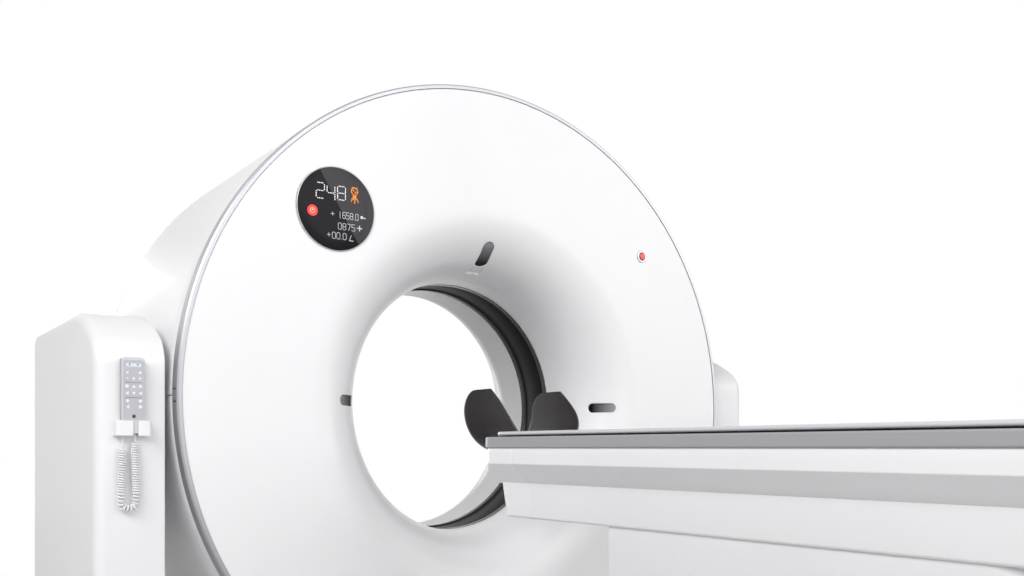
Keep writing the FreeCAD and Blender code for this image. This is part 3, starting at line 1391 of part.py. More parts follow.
def make_head_holder():
    """A carbon trough whose sides rise to a wing on each side of the head, held by a tongue."""
    back = "(wing_root + wing_back - wing_crest)"
    outside = body("holder_outside")
    slab(outside, "XZ", [holder_section("0")], f"-{back}", "-wing_tip")
    inside = body("holder_inside")
    slab(inside, "XZ", [holder_section("holder_wall")], f"-{back}", "-(wing_tip - holder_wall)")
    profile = body("holder_profile")
    slab(profile, "YZ", [[
        (f"-{back}", "holder_floor"),
        ("-(wing_crest + holder_wall * 2)", "holder_floor", "left", "wing_bulge"),
        ("-wing_tip", "tip_height", "left", "wing_bulge"),
        ("-wing_crest", "wing_top"),
        ("-wing_back", "wing_top"),
        (f"-{back}", "cradle_rim"),
    ]], "-holder_radius", "holder_radius")
    trough = common("holder_trough", cut("holder_wall_part", outside, inside), profile)
    over_cradle = f"({DISH_RADIUS} - cradle_thick - seam_gap)"
    dish = rod("dish_clear", "Y", over_cradle, "-table_rear", "-(cradle_front - seam_gap)", ("0", DISH_CENTRE))
    behind = box("behind_front", ("-holder_radius", "holder_radius"),
                 (f"-{back} - holder_wall", "-(cradle_front - seam_gap)"), ("beam_top", "wing_top"))
    clear = cut("below_dish", behind, dish)
    tongue = box("holder_tongue", ("-tongue_half + run_gap", "tongue_half - run_gap"),
                 ("-(cradle_front + tongue_depth - run_gap)", "-(cradle_front - tongue_depth)"),
                 ("tongue_low + run_gap", "tongue_high - run_gap"))
    keep(fuse("head_holder", cut("holder_seated", trough, clear), tongue), "head_holder")


def make_carriage():
    """The truck on the slide rails, with the neck that reaches up to the cradle."""
    truck = body("cradle_carriage")
    front = "-(truck_rear - truck_length)"
    bottom = f"({TRACK_TOP} + run_gap)"
    slab(truck, "XY", [rectangle("-truck_half", "truck_half", "-truck_rear", front)], bottom,
         f"{bottom} + truck_thick")
    neck_top = f"{DISH_CENTRE} - {DISH_RADIUS} - run_gap"
    slab(truck, "XY", [rectangle("-neck_half", "neck_half", "-truck_rear", front)],
         f"{bottom} + truck_thick", neck_top)
    keep(truck, "cradle_carriage")


def make_slides():
    """Two rails and the closed linear drive between them, on the beam."""
    along = ("-track_rear", "-track_front")
    for side, across in (("left", ("-track_far", "-track_near")), ("right", ("track_near", "track_far"))):
        keep(box(f"slide_rail_{side}", across, along, ("beam_top", TRACK_TOP)), f"slide_rail_{side}")
    keep(box("linear_drive", ("-unit_half", "unit_half"), along, ("beam_top", TRACK_TOP)), "linear_drive")


def make_table_frame():
    """The beam: a plate with upturned sides, on a post and head plate that bolt to the lift column."""
    frame = body("table_frame")
    low = "(beam_top - beam_thick)"
    top = "deck_bottom - seam_gap"
    channel = [
        ("-beam_half", low),
        ("beam_half", low),
        ("beam_half", top),
        ("beam_half - beam_web", top),
        ("beam_half - beam_web", "beam_top"),
        ("-(beam_half - beam_web)", "beam_top"),
        ("-(beam_half - beam_web)", top),
        ("-beam_half", top),
    ]
    slab(frame, "XZ", [channel], "-beam_rear", "-beam_front")
    for half, bottom, height in (("post_half", "head_height", low),
                                 ("post_top_half", "head_height", "head_height + head_thick")):
        square = rectangle(f"-{half}", half, f"-(column_middle + {half})", f"-(column_middle - {half})")
        slab(frame, "XY", [square], bottom, height)
    keep(frame, "table_frame")


def body_section(depth, bottom):
    """Cross-section of the table body's upper part: upright sides that turn under at an angle."""
    slant = "((shell_break - belly_top) / (shell_half - belly_half))"
    bend = f"(shell_break + {depth} * (sqrt(1 + {slant} ^ 2) - {slant}))"
    low = f"(shell_half - (shell_break - {bottom}) / {slant} - {depth} * sqrt(1 + 1 / {slant} ^ 2))"
    side = f"(shell_half - {depth})"
    return [
        (f"-{low}", bottom),
        (low, bottom),
        (side, bend),
        (side, "deck_bottom - seam_gap"),
        (f"-{side}", "deck_bottom - seam_gap"),
        (f"-{side}", bend),
    ]


def belly_section(depth):
    """Cross-section of the table body's lower part, narrowing to rounded lower edges."""
    lean = "((belly_half - belly_foot) / (belly_top - belly_bottom))"
    edge = f"(belly_edge - {depth} / 2)"
    low = f"belly_bottom + {depth}"
    foot = f"(belly_foot + {lean} * ({depth} + {edge}) - {depth})"
    return [
        (f"-({foot} - {edge})", low),
        (f"{foot} - {edge}", low, "left", edge),
        (foot, f"{low} + {edge}"),
        (f"belly_half - {depth} - seam_gap", "belly_top - seam_gap"),
        (f"-(belly_half - {depth} - seam_gap)", "belly_top - seam_gap"),
        (f"-{foot}", f"{low} + {edge}", "left", edge),
    ]


def make_table_covers():
    """The white mouldings of the table body: side shell, lower shell and the front cap over both."""
    rear = "(table_rear - shell_wall)"
    inner_rear = "(table_rear - 2 * shell_wall)"
    seam = "(cap_seam + seam_line)"

    side = body("side_shell_outside")
    slab(side, "XZ", [body_section("0", "belly_top")], f"-{rear}", f"-{seam}")
    hollow = body("side_shell_hollow")
    slab(hollow, "XZ", [body_section("shell_wall", "belly_bottom")], f"-{inner_rear}", "-cap_seam")
    above = box("side_shell_above", ("-shell_half + shell_wall", "shell_half - shell_wall"),
                (f"-{inner_rear}", "-cap_seam"), ("deck_bottom - shell_wall", "cradle_rim"))
    trough = rod("side_trough_clear", "Y", f"{TROUGH_UNDER} + seam_gap", f"-{rear}", f"-{seam}",
                 ("0", DISH_CENTRE))
    keep(cut("table_side_shell", side, hollow, above, trough), "table_side_shell")

    belly = body("belly_outside")
    slab(belly, "XZ", [belly_section("0")], f"-{rear}", f"-{seam}")
    inner = body("belly_hollow")
    slab(inner, "XZ", [belly_section("shell_wall")], f"-{inner_rear}", "-cap_seam")
    above = box("belly_above", ("-belly_half + 2 * shell_wall", "belly_half - 2 * shell_wall"),
                (f"-{inner_rear}", "-cap_seam"), ("belly_top - 2 * shell_wall", "cradle_rim"))
    mouth = body("belly_mouth")
    slab(mouth, "XY", [skirt_outline("shell_wall")], "skirt_bottom", "belly_bottom + 2 * shell_wall")
    keep(cut("table_lower_shell", belly, inner, above, mouth), "table_lower_shell")

    keep(make_front_cap(), "table_front_cap")


def cap_solid(name, depth, rear):
    """The front cap's outside, or its hollow: the raked nose over the upright lower front."""
    bar = body(name + "_bar")
    slab(bar, "XZ", [body_section(depth, f"(shell_under + {depth})")], f"-{rear}", "-deck_front")
    plan = body(name + "_plan")
    slab(plan, "XY", [plan_outline(f"(shell_half - {depth})", f"(shell_front + {depth})",
                                   f"(cap_seam + shell_corner + {depth})", f"(shell_corner - {depth})",
                                   "rear_corner")], "belly_bottom", "cradle_rim")
    profile = body(name + "_profile")
    nose = f"-(shell_front + {depth})"
    slab(profile, "YZ", [[
        (nose, "cradle_rim"),
        (nose, f"shell_break - {depth} / 2"),
        (f"{nose} - shell_rake", f"shell_under + {depth}"),
        (f"-{rear}", f"shell_under + {depth}"),
        (f"-{rear}", "cradle_rim"),
    ]], "-shell_half", "shell_half")
    nose_part = common(name + "_nose", bar, plan, profile)
    chin = body(name + "_chin")
    slab(chin, "XZ", [belly_section(depth)], f"-{rear}", f"-(belly_front + {depth})")
    return nose_part, chin


def make_front_cap():
    nose, chin = cap_solid("cap", "0", "cap_seam")
    nose_hollow, chin_hollow = cap_solid("cap_hollow", "shell_wall", "(cap_seam + seam_line)")
    passage = box("cap_passage", ("-(belly_foot - shell_wall)", "belly_foot - shell_wall"),
                  ("-(cap_seam + seam_line)", "-(belly_front + shell_wall)"),
                  ("belly_top - 4 * shell_wall", "belly_top + 2 * shell_wall"))
    trough = rod("cap_trough_clear", "Y", f"{TROUGH_UNDER} + seam_gap", "-(cap_seam + seam_line)",
                 "-deck_front", ("0", DISH_CENTRE))
    return cut("table_front_cap", fuse("cap_outside", nose, chin), nose_hollow, chin_hollow, passage, trough)


def skirt_outline(depth):
    """Plan view of the pedestal: tight corners towards the gantry, wide ones behind."""
    return plan_outline(f"(skirt_half - {depth})", f"(skirt_front + {depth})", f"(skirt_rear - {depth})",
                        f"(skirt_corner - {depth})", f"(skirt_round - {depth})")


def make_pedestal():
    """The moving skirt, the fixed plinth inside it, and the base plate both stand over."""
    skirt = body("pedestal_skirt")
    slab(skirt, "XY", [skirt_outline("0"), skirt_outline("shell_wall")], "skirt_bottom", "belly_bottom")
    keep(skirt, "pedestal_skirt")
    outer = "(shell_wall + skirt_gap)"
    plinth = body("pedestal_plinth")
    slab(plinth, "XY", [skirt_outline(outer), skirt_outline(f"({outer} + shell_wall)")],
         "plate_thick", "plinth_top")
    keep(plinth, "pedestal_plinth")
    plate = body("table_base")
    offset = "(skirt_half - 6 * shell_wall)"
    anchors = [(x, y, "anchor_radius") for x in (f"-{offset}", offset)
               for y in ("-(skirt_front + 12 * shell_wall)", "-(skirt_rear - skirt_round)")]
    slab(plate, "XY", [skirt_outline(outer)], "0", "plate_thick", anchors)
    keep(plate, "table_base")


def make_lift_column():
    """Three square tubes, each sliding in the one below."""
    half = "column_half"
    bottom = "plate_thick"
    for name in ("lift_column_fixed", "lift_column_middle", "lift_column_top"):
        tube = body(name)
        inner = f"({half} - column_wall)"
        loops = [rectangle(f"-{reach}", reach, f"-(column_middle + {reach})", f"-(column_middle - {reach})")
                 for reach in (half, inner)]
        slab(tube, "XY", loops, bottom, f"{bottom} + stage_length")
        keep(tube, name)
        half = f"({inner} - column_play)"
        bottom = f"({bottom} + stage_length - stage_lap)"


def make_floor_duct():
    """A low cable duct along the floor between gantry and table."""
    duct = body("floor_duct")
    section = [
        ("-duct_half", "0"),
        ("duct_half", "0"),
        ("duct_half - duct_bevel", "duct_height"),
        ("-(duct_half - duct_bevel)", "duct_height"),
    ]
    slab(duct, "XZ", [section], "-(skirt_front + shell_wall + skirt_gap - seam_gap)",
         "-(pod_front - plate_inset + seam_gap)")
    keep(duct, "floor_duct")


make_front_cover()
make_laser_windows()
make_trim_ring()
make_side_covers()
make_rear_cover()
make_scan_window()
make_face_fittings()
make_tilt_frame()
make_trunnions()
make_bearing_and_drive()
make_rotor_drum()
make_slip_ring()
make_tube_and_collimator()
make_detector()
make_rotor_boxes()
make_floor_plate()
for stand_side in ("left", "right"):
    make_stand(stand_side)
    make_pod(stand_side)
    make_trunnion_bearing(stand_side)
make_tilt_drive()
make_handset()
make_handset_holder()
make_handset_cord()
make_deck()
make_cradle()
make_head_holder()
make_carriage()
make_slides()
make_table_frame()
make_table_covers()
make_pedestal()
make_lift_column()
make_floor_duct()

doc.recompute()
for thing in doc.Objects:
    if {"Invalid", "Error"} & set(thing.State):
        raise RuntimeError(f"{thing.Label} failed: {thing.State}")
os.makedirs("parts", exist_ok=True)
for node, thing in PARTS.items():
    shape = thing.Shape
    if shape.isNull() or not shape.isValid() or not shape.Solids:
        raise RuntimeError(f"{node} has no valid solid")
    shape.exportStep(f"parts/{node}.step")
    reach = shape.BoundBox
    print(f"{node}: {len(shape.Solids)} solid, {len(shape.Faces)} faces, "
          f"X {reach.XMin:.1f} {reach.XMax:.1f}, Y {reach.YMin:.1f} {reach.YMax:.1f}, "
          f"Z {reach.ZMin:.1f} {reach.ZMax:.1f}, {shape.Volume / 1e6:.3f} litres")
print(len(PARTS), "pieces")
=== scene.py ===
import math

import bmesh
import bpy
import numpy as np
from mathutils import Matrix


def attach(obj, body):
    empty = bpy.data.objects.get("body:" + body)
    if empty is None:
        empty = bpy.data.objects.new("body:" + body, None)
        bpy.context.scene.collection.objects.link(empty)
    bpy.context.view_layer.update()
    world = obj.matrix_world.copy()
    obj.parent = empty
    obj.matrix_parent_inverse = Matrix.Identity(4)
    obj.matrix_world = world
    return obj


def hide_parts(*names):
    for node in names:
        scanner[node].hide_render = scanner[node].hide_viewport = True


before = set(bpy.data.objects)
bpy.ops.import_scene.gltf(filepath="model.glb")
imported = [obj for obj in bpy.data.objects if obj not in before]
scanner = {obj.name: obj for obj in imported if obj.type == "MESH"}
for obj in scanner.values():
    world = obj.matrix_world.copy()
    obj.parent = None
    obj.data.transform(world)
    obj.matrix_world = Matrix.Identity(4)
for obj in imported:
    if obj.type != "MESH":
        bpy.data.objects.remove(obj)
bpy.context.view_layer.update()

# --- Camera ---
# The photograph is taken from the table's left, level, just under the height of the bore's axis, and
# framed upwards. Sizes here are in metres.


def placed(name, data):
    """A new object of the scene."""
    thing = bpy.data.objects.new(name, data)
    bpy.context.scene.collection.objects.link(thing)
    return thing


photo_lens = bpy.data.cameras.new("photo_lens")
photo_lens.lens = 34.98
photo_lens.sensor_width = 36
photo_lens.shift_y = 0.1562
photo_camera = placed("photo_camera", photo_lens)
photo_camera.location = (-1.602, -2.743, 0.892)
photo_camera.rotation_euler = (math.radians(90), 0, math.radians(-34.57))
bpy.context.scene.camera = photo_camera

# --- Curly cord of the hand control ---
# White PVC over stranded wire, wound on a rod while hot, so it hangs as a U of about fifty curls. One end
# goes into the holder, the other into the foot of the hand control. From here on sizes are in millimetres.
CORD_THICK = 4.2
CORD_PLANE = -298
CURL_REACH = 7.6
CURL_TURNS = 50.75
POINTS_PER_TURN = 14
STRAND_PITCH, BEND_PITCH, PITCH_EASE = 5.8, 8.6, 14
BEND_CENTRE, BEND_RADIUS = np.array([-1015, CORD_PLANE, 768.0]), 17.5


def together(*parts):
    """Coordinates side by side, each stretched to the shape of the largest: x, y and z, or depth and radius."""
    return np.stack(np.broadcast_arrays(*parts), -1)


def add(tree, kind, feeds=None, settings=None, operation=None):
    """One shader node: feeds names the sockets that feed its inputs, settings the inputs' constants."""
    node = tree.nodes.new(f"ShaderNode{kind}")
    if operation:
        node.operation = operation
    for place, source in (feeds or {}).items():
        tree.links.new(source, node.inputs[place])
    for place, value in (settings or {}).items():
        node.inputs[place].default_value = value
    return node


def ramp(tree, source, stops):
    """A blend between two stops of (position, colour)."""
    shades = add(tree, "ValToRGB", {"Fac": source})
    for end, (spot, colour) in zip(shades.color_ramp.elements, stops):
        end.position = spot
        end.color = (*colour, 1)
    return shades.outputs["Color"]


def colour_from(stuff, source):
    """The finish takes its colour from this node."""
    tree = stuff.node_tree
    tree.links.new(source, tree.nodes["Principled BSDF"].inputs["Base Color"])


def finish(name, colour, roughness, metal=0.0, cloud=(3.0, 0.03), grain=(350.0, 0.05, 0.00006),
           stretch=(1, 1, 1), coat=0.0, shine=0.5):
    """A surface finish. Broad clouds lighten and darken the colour by a few percent, and one fine grain
    sets both the roughness and the relief: cloud = (per metre, share), grain = (per metre, roughness, relief)."""
    stuff = bpy.data.materials.new(name)
    stuff.use_nodes = True
    tree = stuff.node_tree
    shader = tree.nodes["Principled BSDF"]
    for place, value in (("Metallic", metal), ("Coat Weight", coat), ("Coat Roughness", 0.06),
                         ("Specular IOR Level", shine)):
        shader.inputs[place].default_value = value
    fit = add(tree, "Mapping", {"Vector": add(tree, "TexCoord").outputs["Object"]}, {"Scale": stretch})
    spot = {"Vector": fit.outputs["Vector"]}
    fine = add(tree, "TexNoise", spot, {"Scale": grain[0], "Detail": 3}).outputs["Fac"]
    broad = add(tree, "TexNoise", spot, {"Scale": cloud[0], "Detail": 4}).outputs["Fac"]
    colour_from(stuff, ramp(tree, broad, [(spot, [min(1.0, part * (1 + change)) for part in colour])
                                          for spot, change in ((0.3, -cloud[1]), (0.7, cloud[1]))]))
    rub = add(tree, "MapRange", {"Value": fine}, {"To Min": max(0.02, roughness - grain[1]),
                                                  "To Max": roughness + grain[1]})
    relief = add(tree, "Bump", {"Height": fine}, {"Strength": 0.5, "Distance": grain[2]})
    tree.links.new(rub.outputs["Result"], shader.inputs["Roughness"])
    tree.links.new(relief.outputs["Normal"], shader.inputs["Normal"])
    return stuff


def fasten(thing, body, slot, *stands_for):
    """The piece moves with its body and stands for the nodes it covers, which are hidden. The slot is not used."""
    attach(thing, body)
    if stands_for:
        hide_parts(*stands_for)


def smooth_line(name, points):
    """A curve object of one NURBS spline with these control points, in millimetres."""
    line = bpy.data.curves.new(name, "CURVE")
    line.dimensions = "3D"
    spline = line.splines.new("NURBS")
    spline.points.add(len(points) - 1)
    spline.points.foreach_set("co", np.hstack([points / 1000, np.ones((len(points), 1))]).ravel())
    spline.order_u = 3
    spline.use_endpoint_u = True
    return placed(name, line)


def curls_along(route):
    """Control points of the curls. The route's turns are the running sum of length / pitch, the pitch
    eases open in the bend, and a point is middle + (side cos + depth sin) * reach."""
    lengths = np.concatenate([[0], np.cumsum(np.linalg.norm(np.diff(route, axis=0), axis=1))])
    below = np.linalg.norm(route - BEND_CENTRE, axis=1) - BEND_RADIUS
    share = (1 + np.cos(np.pi * np.clip(below / PITCH_EASE, 0, 1))) / 2
    pitch = STRAND_PITCH + (BEND_PITCH - STRAND_PITCH) * share
    turns = np.concatenate([[0], np.cumsum(np.diff(lengths) * 2 / (pitch[1:] + pitch[:-1]))])
    turns *= CURL_TURNS / turns[-1]
    marks = np.arange(0, CURL_TURNS, 1 / POINTS_PER_TURN)
    middle = np.stack([np.interp(marks, turns, route[:, axis]) for axis in range(3)], -1)
    way = np.gradient(middle, axis=0)
    way /= np.linalg.norm(way, axis=1, keepdims=True)
    side = together(-way[:, 2], 0, way[:, 0])
    depth = np.array([0, 1, 0])
    reach = CURL_REACH * np.clip(np.minimum(marks, CURL_TURNS - marks) * 2 + 0.35, 0, 1)[:, None]
    angle = 2 * np.pi * marks[:, None]
    return middle + (side * np.cos(angle) + depth * np.sin(angle)) * reach


def in_plane(*spots):
    """Points of the plane that the cord hangs in, from their x and z."""
    return np.insert(np.array(spots, float), 1, CORD_PLANE, axis=1)


cord_route = smooth_line("cord_route", in_plane(
    (-1029, 892), (-1030, 850), (-1031.6, 805), (-1032.6, 772), (-1031, 756), (-1024, 750), (-1015, 749),
    (-1006, 750), (-999, 756), (-997.4, 772), (-998.4, 805), (-1000, 855), (-1001, 906)))
cord_route.data.resolution_u = 40
route_mesh = bpy.data.meshes.new_from_object(cord_route)
route_points = np.zeros(len(route_mesh.vertices) * 3)
route_mesh.vertices.foreach_get("co", route_points)
bpy.data.objects.remove(cord_route)
curly_cord = smooth_line("curly_cord", np.vstack([
    in_plane((-1029, 921), (-1029, 912), (-1029, 901)), curls_along(route_points.reshape(-1, 3) * 1000),
    in_plane((-1001, 911), (-1001, 918), (-1001, 926))]))
curly_cord.data.resolution_u = 3
curly_cord.data.bevel_depth = CORD_THICK / 2000
curly_cord.data.bevel_resolution = 3
cord_vinyl = finish("cord_vinyl", (0.83, 0.83, 0.84), 0.38, cloud=(40.0, 0.03), grain=(900.0, 0.06, 0.00003))
curly_cord.data.materials.append(cord_vinyl)
fasten(curly_cord, "base", "cord_white", "handset_cord")

# --- Floor plate, stands and tilt drive ---
# Flame-cut and welded steel under grey powder coat, bolted to the floor. The trunnion bearings are turned
# steel housings pressed into the webs, and the tilt drive is a cast gear unit with its motor.
stand_coat = finish("stand_coat", (0.20, 0.21, 0.22), 0.52, cloud=(5.0, 0.08), grain=(500.0, 0.08, 0.0002))
turned_steel = finish("turned_steel", (0.55, 0.55, 0.56), 0.32, metal=1.0, cloud=(8.0, 0.05),
                      grain=(120.0, 0.08, 0.00004), stretch=(1, 14, 1))


def dress(stuff, *names):
    """The finish of a piece whose solid is shown as it is."""
    for name in names:
        for slot in scanner[name].material_slots:
            slot.material = stuff


dress(stand_coat, "gantry_base", "stand_left", "stand_right")
dress(turned_steel, "trunnion_bearing_left", "trunnion_bearing_right")
dress(finish("drive_coat", (0.10, 0.13, 0.17), 0.45, cloud=(9.0, 0.08), grain=(300.0, 0.08, 0.0003)), "tilt_drive")

# --- Tilting frame, trunnions, main bearing and direct drive ---
# A machined ring plate that carries everything that tilts. The ground bearing races sit in it, and the
# rotor is driven by a ring of magnets inside a varnished stator.
ground_steel = finish("ground_steel", (0.60, 0.60, 0.60), 0.22, metal=1.0, cloud=(7.0, 0.04),
                      grain=(200.0, 0.06, 0.00003), stretch=(1, 9, 1))
dress(finish("frame_coat", (0.34, 0.35, 0.36), 0.5, cloud=(4.0, 0.07), grain=(420.0, 0.08, 0.0002)), "tilt_frame")
dress(turned_steel, "trunnion_left", "trunnion_right")
dress(ground_steel, "bearing_outer_race", "bearing_inner_race")
dress(finish("stator_varnish", (0.32, 0.11, 0.05), 0.35, metal=0.4, cloud=(30.0, 0.25),
             grain=(240.0, 0.1, 0.0006), stretch=(1, 0.15, 1)), "drive_stator_ring")
dress(finish("nickel_magnets", (0.45, 0.44, 0.42), 0.3, metal=1.0, cloud=(25.0, 0.12)), "drive_magnet_ring")

# --- Rotor: drum, slip ring, tube, collimator, detector and boxes ---
# The disc and hub are one aluminium casting. The tube housing is lead-lined steel, the detector housing
# sheet aluminium over ceramic modules, and the boxes are folded sheet metal bolted to the disc.
dress(finish("cast_aluminium", (0.56, 0.57, 0.58), 0.48, metal=0.9, cloud=(6.0, 0.06),
             grain=(260.0, 0.1, 0.0004)), "rotor_drum")
dress(finish("tube_enamel", (0.48, 0.50, 0.46), 0.34, cloud=(8.0, 0.06)), "xray_tube", "collimator")
dress(finish("box_sheet", (0.46, 0.48, 0.50), 0.42, metal=0.3, cloud=(5.0, 0.05), grain=(150.0, 0.08, 0.0001),
             stretch=(1, 1, 6)), "high_voltage_generator", "inverter_box", "detector_housing")
dress(finish("fin_aluminium", (0.62, 0.63, 0.64), 0.36, metal=1.0, stretch=(1, 8, 1)), "heat_exchanger")
dress(finish("module_ceramic", (0.05, 0.055, 0.06), 0.3, cloud=(60.0, 0.3)), "detector_modules")
dress(finish("slip_epoxy", (0.025, 0.03, 0.03), 0.28, cloud=(12.0, 0.2)), "slip_ring")
dress(finish("brush_nylon", (0.11, 0.08, 0.05), 0.5, cloud=(20.0, 0.15)), "brush_block")

# --- Scan window ---
# A polished dark ring lines the bore where the beam passes: two raised lips of moulded polycarbonate,
# and between them a thin black film that the beam goes through.
AXIS_HEIGHT = 1020
BORE_RADIUS = 380
WINDOW_HALF, LIP_WIDE, LIP_STEP, WINDOW_OUTSIDE = 74, 18, 4, 391.7
lip_polycarbonate = finish("lip_polycarbonate", (0.018, 0.015, 0.018), 0.16, cloud=(6.0, 0.15),
                           grain=(220.0, 0.03, 0.00002), shine=0.35)
beam_film = finish("beam_film", (0.004, 0.0035, 0.004), 0.45, cloud=(10.0, 0.3), grain=(500.0, 0.06, 0.00002),
                   shine=0.12)


def rounded_outline(corners, radii, steps=6):
    """A closed outline whose corners are arcs: each arc's centre lies on the corner's bisector at
    radius / sin(half the angle), and it touches both sides at radius / tan(half the angle)."""
    corners = np.asarray(corners, float)
    radii = np.broadcast_to(np.asarray(radii, float), len(corners))[:, None]
    back, ahead = np.roll(corners, 1, 0) - corners, np.roll(corners, -1, 0) - corners
    back /= np.linalg.norm(back, axis=1, keepdims=True)
    ahead /= np.linalg.norm(ahead, axis=1, keepdims=True)
    half = np.arccos(np.clip((back * ahead).sum(1, keepdims=True), -1, 1)) / 2
    bisector = (back + ahead) / np.linalg.norm(back + ahead, axis=1, keepdims=True)
    centre = corners + bisector * radii / np.sin(half)
    first, last = corners + back * radii / np.tan(half) - centre, corners + ahead * radii / np.tan(half) - centre
    turn = (np.pi - 2 * half)[:, None]
    share = np.linspace(0, 1, steps + 1)[None, :, None]
    arcs = (np.sin((1 - share) * turn) * first[:, None] + np.sin(share * turn) * last[:, None]) / np.sin(turn)
    return (centre[:, None] + arcs).reshape(-1, 2)


def rounded_box(left, right, low, high, radii, steps=6):
    """The outline of a box with rounded corners, from its low left corner round to its high left one."""
    return rounded_outline([(left, low), (right, low), (right, high), (left, high)], radii, steps)


def turned(profile, angles, across=0.0, up=AXIS_HEIGHT):
    """A profile of (depth, radius) carried round an axis along Y: x = radius cos, z = radius sin."""
    profile = np.asarray(profile, float)
    depth, radius = profile[:, :1], profile[:, 1:]
    return together(across + radius * np.cos(angles), depth, up + radius * np.sin(angles))


def full_turn(count):
    """Even angles all the way round."""
    return np.arange(count) * 2 * np.pi / count


def quads_of(index):
    """A face between each four neighbours of a grid of point numbers."""
    return np.stack([index[..., :-1, :-1], index[..., 1:, :-1], index[..., 1:, 1:], index[..., :-1, 1:]], -1)


def surface(points, wrap_rows=False, wrap_columns=False, caps=False):
    """A grid of points with a face between each four neighbours, and a flat one on its first and last row."""
    rows, columns = points.shape[:2]
    index = np.arange(rows * columns).reshape(rows, columns)
    if wrap_rows:
        index = np.vstack([index, index[:1]])
    if wrap_columns:
        index = np.hstack([index, index[:, :1]])
    faces = quads_of(index).reshape(-1, 4).tolist()
    if caps:
        faces += [index[0, :columns].tolist()[::-1], index[-1, :columns].tolist()]
    return points.reshape(-1, 3), faces


def ring(corners, radii, count, across=0.0, up=AXIS_HEIGHT, steps=6):
    """A closed profile with rounded corners, carried all the way round."""
    points = turned(rounded_outline(corners, radii, steps), full_turn(count), across, up)
    return surface(points, True, True)


def piece(name, finishes, *surfaces, outwards=True):
    """One mesh of several surfaces. Doubles are merged, and its faces turned outwards where asked."""
    starts = np.cumsum([0, *(len(spots) for spots, _ in surfaces[:-1])]).tolist()
    faces = [[corner + start for corner in face] for (_, some), start in zip(surfaces, starts) for face in some]
    mesh = bpy.data.meshes.new(name)
    mesh.from_pydata((np.vstack([spots for spots, _ in surfaces]) / 1000).tolist(), [], faces)
    work = bmesh.new()
    work.from_mesh(mesh)
    bmesh.ops.remove_doubles(work, verts=work.verts, dist=1e-5)
    if outwards:
        bmesh.ops.recalc_face_normals(work, faces=work.faces)
    work.to_mesh(mesh)
    work.free()
    mesh.shade_smooth()
    for stuff in finishes:
        mesh.materials.append(stuff)
    return placed(name, mesh)


def even_shading(thing):
    """Large faces keep their own shading beside small roundings."""
    shading = thing.modifiers.new("shading", "WEIGHTED_NORMAL")
    shading.keep_sharp = True


film_edge = WINDOW_HALF - LIP_WIDE - LIP_STEP
lip_corners = [(-WINDOW_HALF, WINDOW_OUTSIDE), (-WINDOW_HALF, BORE_RADIUS - 1),
               (-WINDOW_HALF + LIP_WIDE, BORE_RADIUS - 1), (-film_edge, BORE_RADIUS - 1 + LIP_STEP),
               (-film_edge, WINDOW_OUTSIDE)]
lip_radii = [0.3, 1.5, 1.5, 1.0, 0.3]
window_lips = piece("window_lips", [lip_polycarbonate], ring(lip_corners, lip_radii, 240),
                    ring([(-depth, radius) for depth, radius in lip_corners], lip_radii, 240))
even_shading(window_lips)
fasten(window_lips, "gantry", "window_ring", "scan_window")
FILM_INSIDE, FILM_OUTSIDE = BORE_RADIUS + 3.2, BORE_RADIUS + 5
window_film = piece("window_film", [beam_film], ring(
    [(-film_edge, FILM_INSIDE), (film_edge, FILM_INSIDE), (film_edge, FILM_OUTSIDE), (-film_edge, FILM_OUTSIDE)],
    0.3, 240, steps=2))
fasten(window_film, "gantry", "window_ring")

# --- Front cover ---
# The face: one big glass-fibre moulding under white satin lacquer, 6 mm thick. It rolls into the bore in
# two bends, and is pierced for the laser slots, the display and the emergency stop.
FACE = -330
COVER_WALL = 6
FLARE_START, FLARE_BEND, FLARE_TURN = -120, 248, math.radians(30)
MOUTH_BEND, MOUTH_RADIUS = 172, 562.2
FACE_RADIUS = 899.2
FACE_EDGE, FACE_BACK, WINDOW_GAP = 2, -290, 0.3
DISPLAY_SPOT, DISPLAY_HOLE = (-500, 499), 109.3
STOP_SPOT, STOP_HOLE = (570, 491), 16.3
DISPLAY_ANGLE, STOP_ANGLE = 135.06, 40.74
SLOTS = {"right": (0, 415, 478.6, 14), "left": (math.pi, 415, 478.6, 14), "top": (math.pi / 2, 412, 475.5, 19.3)}
SCOOP_NEAR, SCOOP_FAR, SCOOP_HALF, SCOOP_SIDE, SCOOP_DEEP = 396, 418, 21, 3.5, 7
cover_lacquer = finish("cover_lacquer", (0.88, 0.872, 0.885), 0.34, cloud=(1.6, 0.012),
                       grain=(260.0, 0.04, 0.00005), coat=0.15)
FLARE_CHANGE = MOUTH_RADIUS - MOUTH_BEND * math.cos(FLARE_TURN)
FLARE_SEAM = MOUTH_RADIUS - MOUTH_BEND * (math.pi / 2 - FLARE_TURN)


def flare_turn_at(radius):
    """How far the flare has turned where it has this radius: acos of 1 - rise / bend, in its two bends."""
    first = np.arccos(np.clip(1 - (radius - BORE_RADIUS) / FLARE_BEND, -1, 1))
    second = np.arccos(np.clip((MOUTH_RADIUS - radius) / MOUTH_BEND, 0, 1))
    return np.where(radius < FLARE_CHANGE, first, second)


def flare_depth(radius):
    """Where the skin lies along the bore's axis at this radius: the sine of its turn, bend by bend."""
    rise = np.sin(flare_turn_at(radius))
    return np.where(radius < FLARE_CHANGE, FLARE_START - FLARE_BEND * rise, FACE + MOUTH_BEND - MOUTH_BEND * rise)


def unrolled(radius):
    """The distance from the axis along the skin, with the two bends laid flat inside the mouth: bend * turn."""
    turn = flare_turn_at(radius)
    bends = np.where(turn < FLARE_TURN, FLARE_SEAM - FLARE_BEND * (FLARE_TURN - turn),
                     MOUTH_RADIUS - MOUTH_BEND * (np.pi / 2 - turn))
    return np.where(radius < MOUTH_RADIUS, bends, radius)


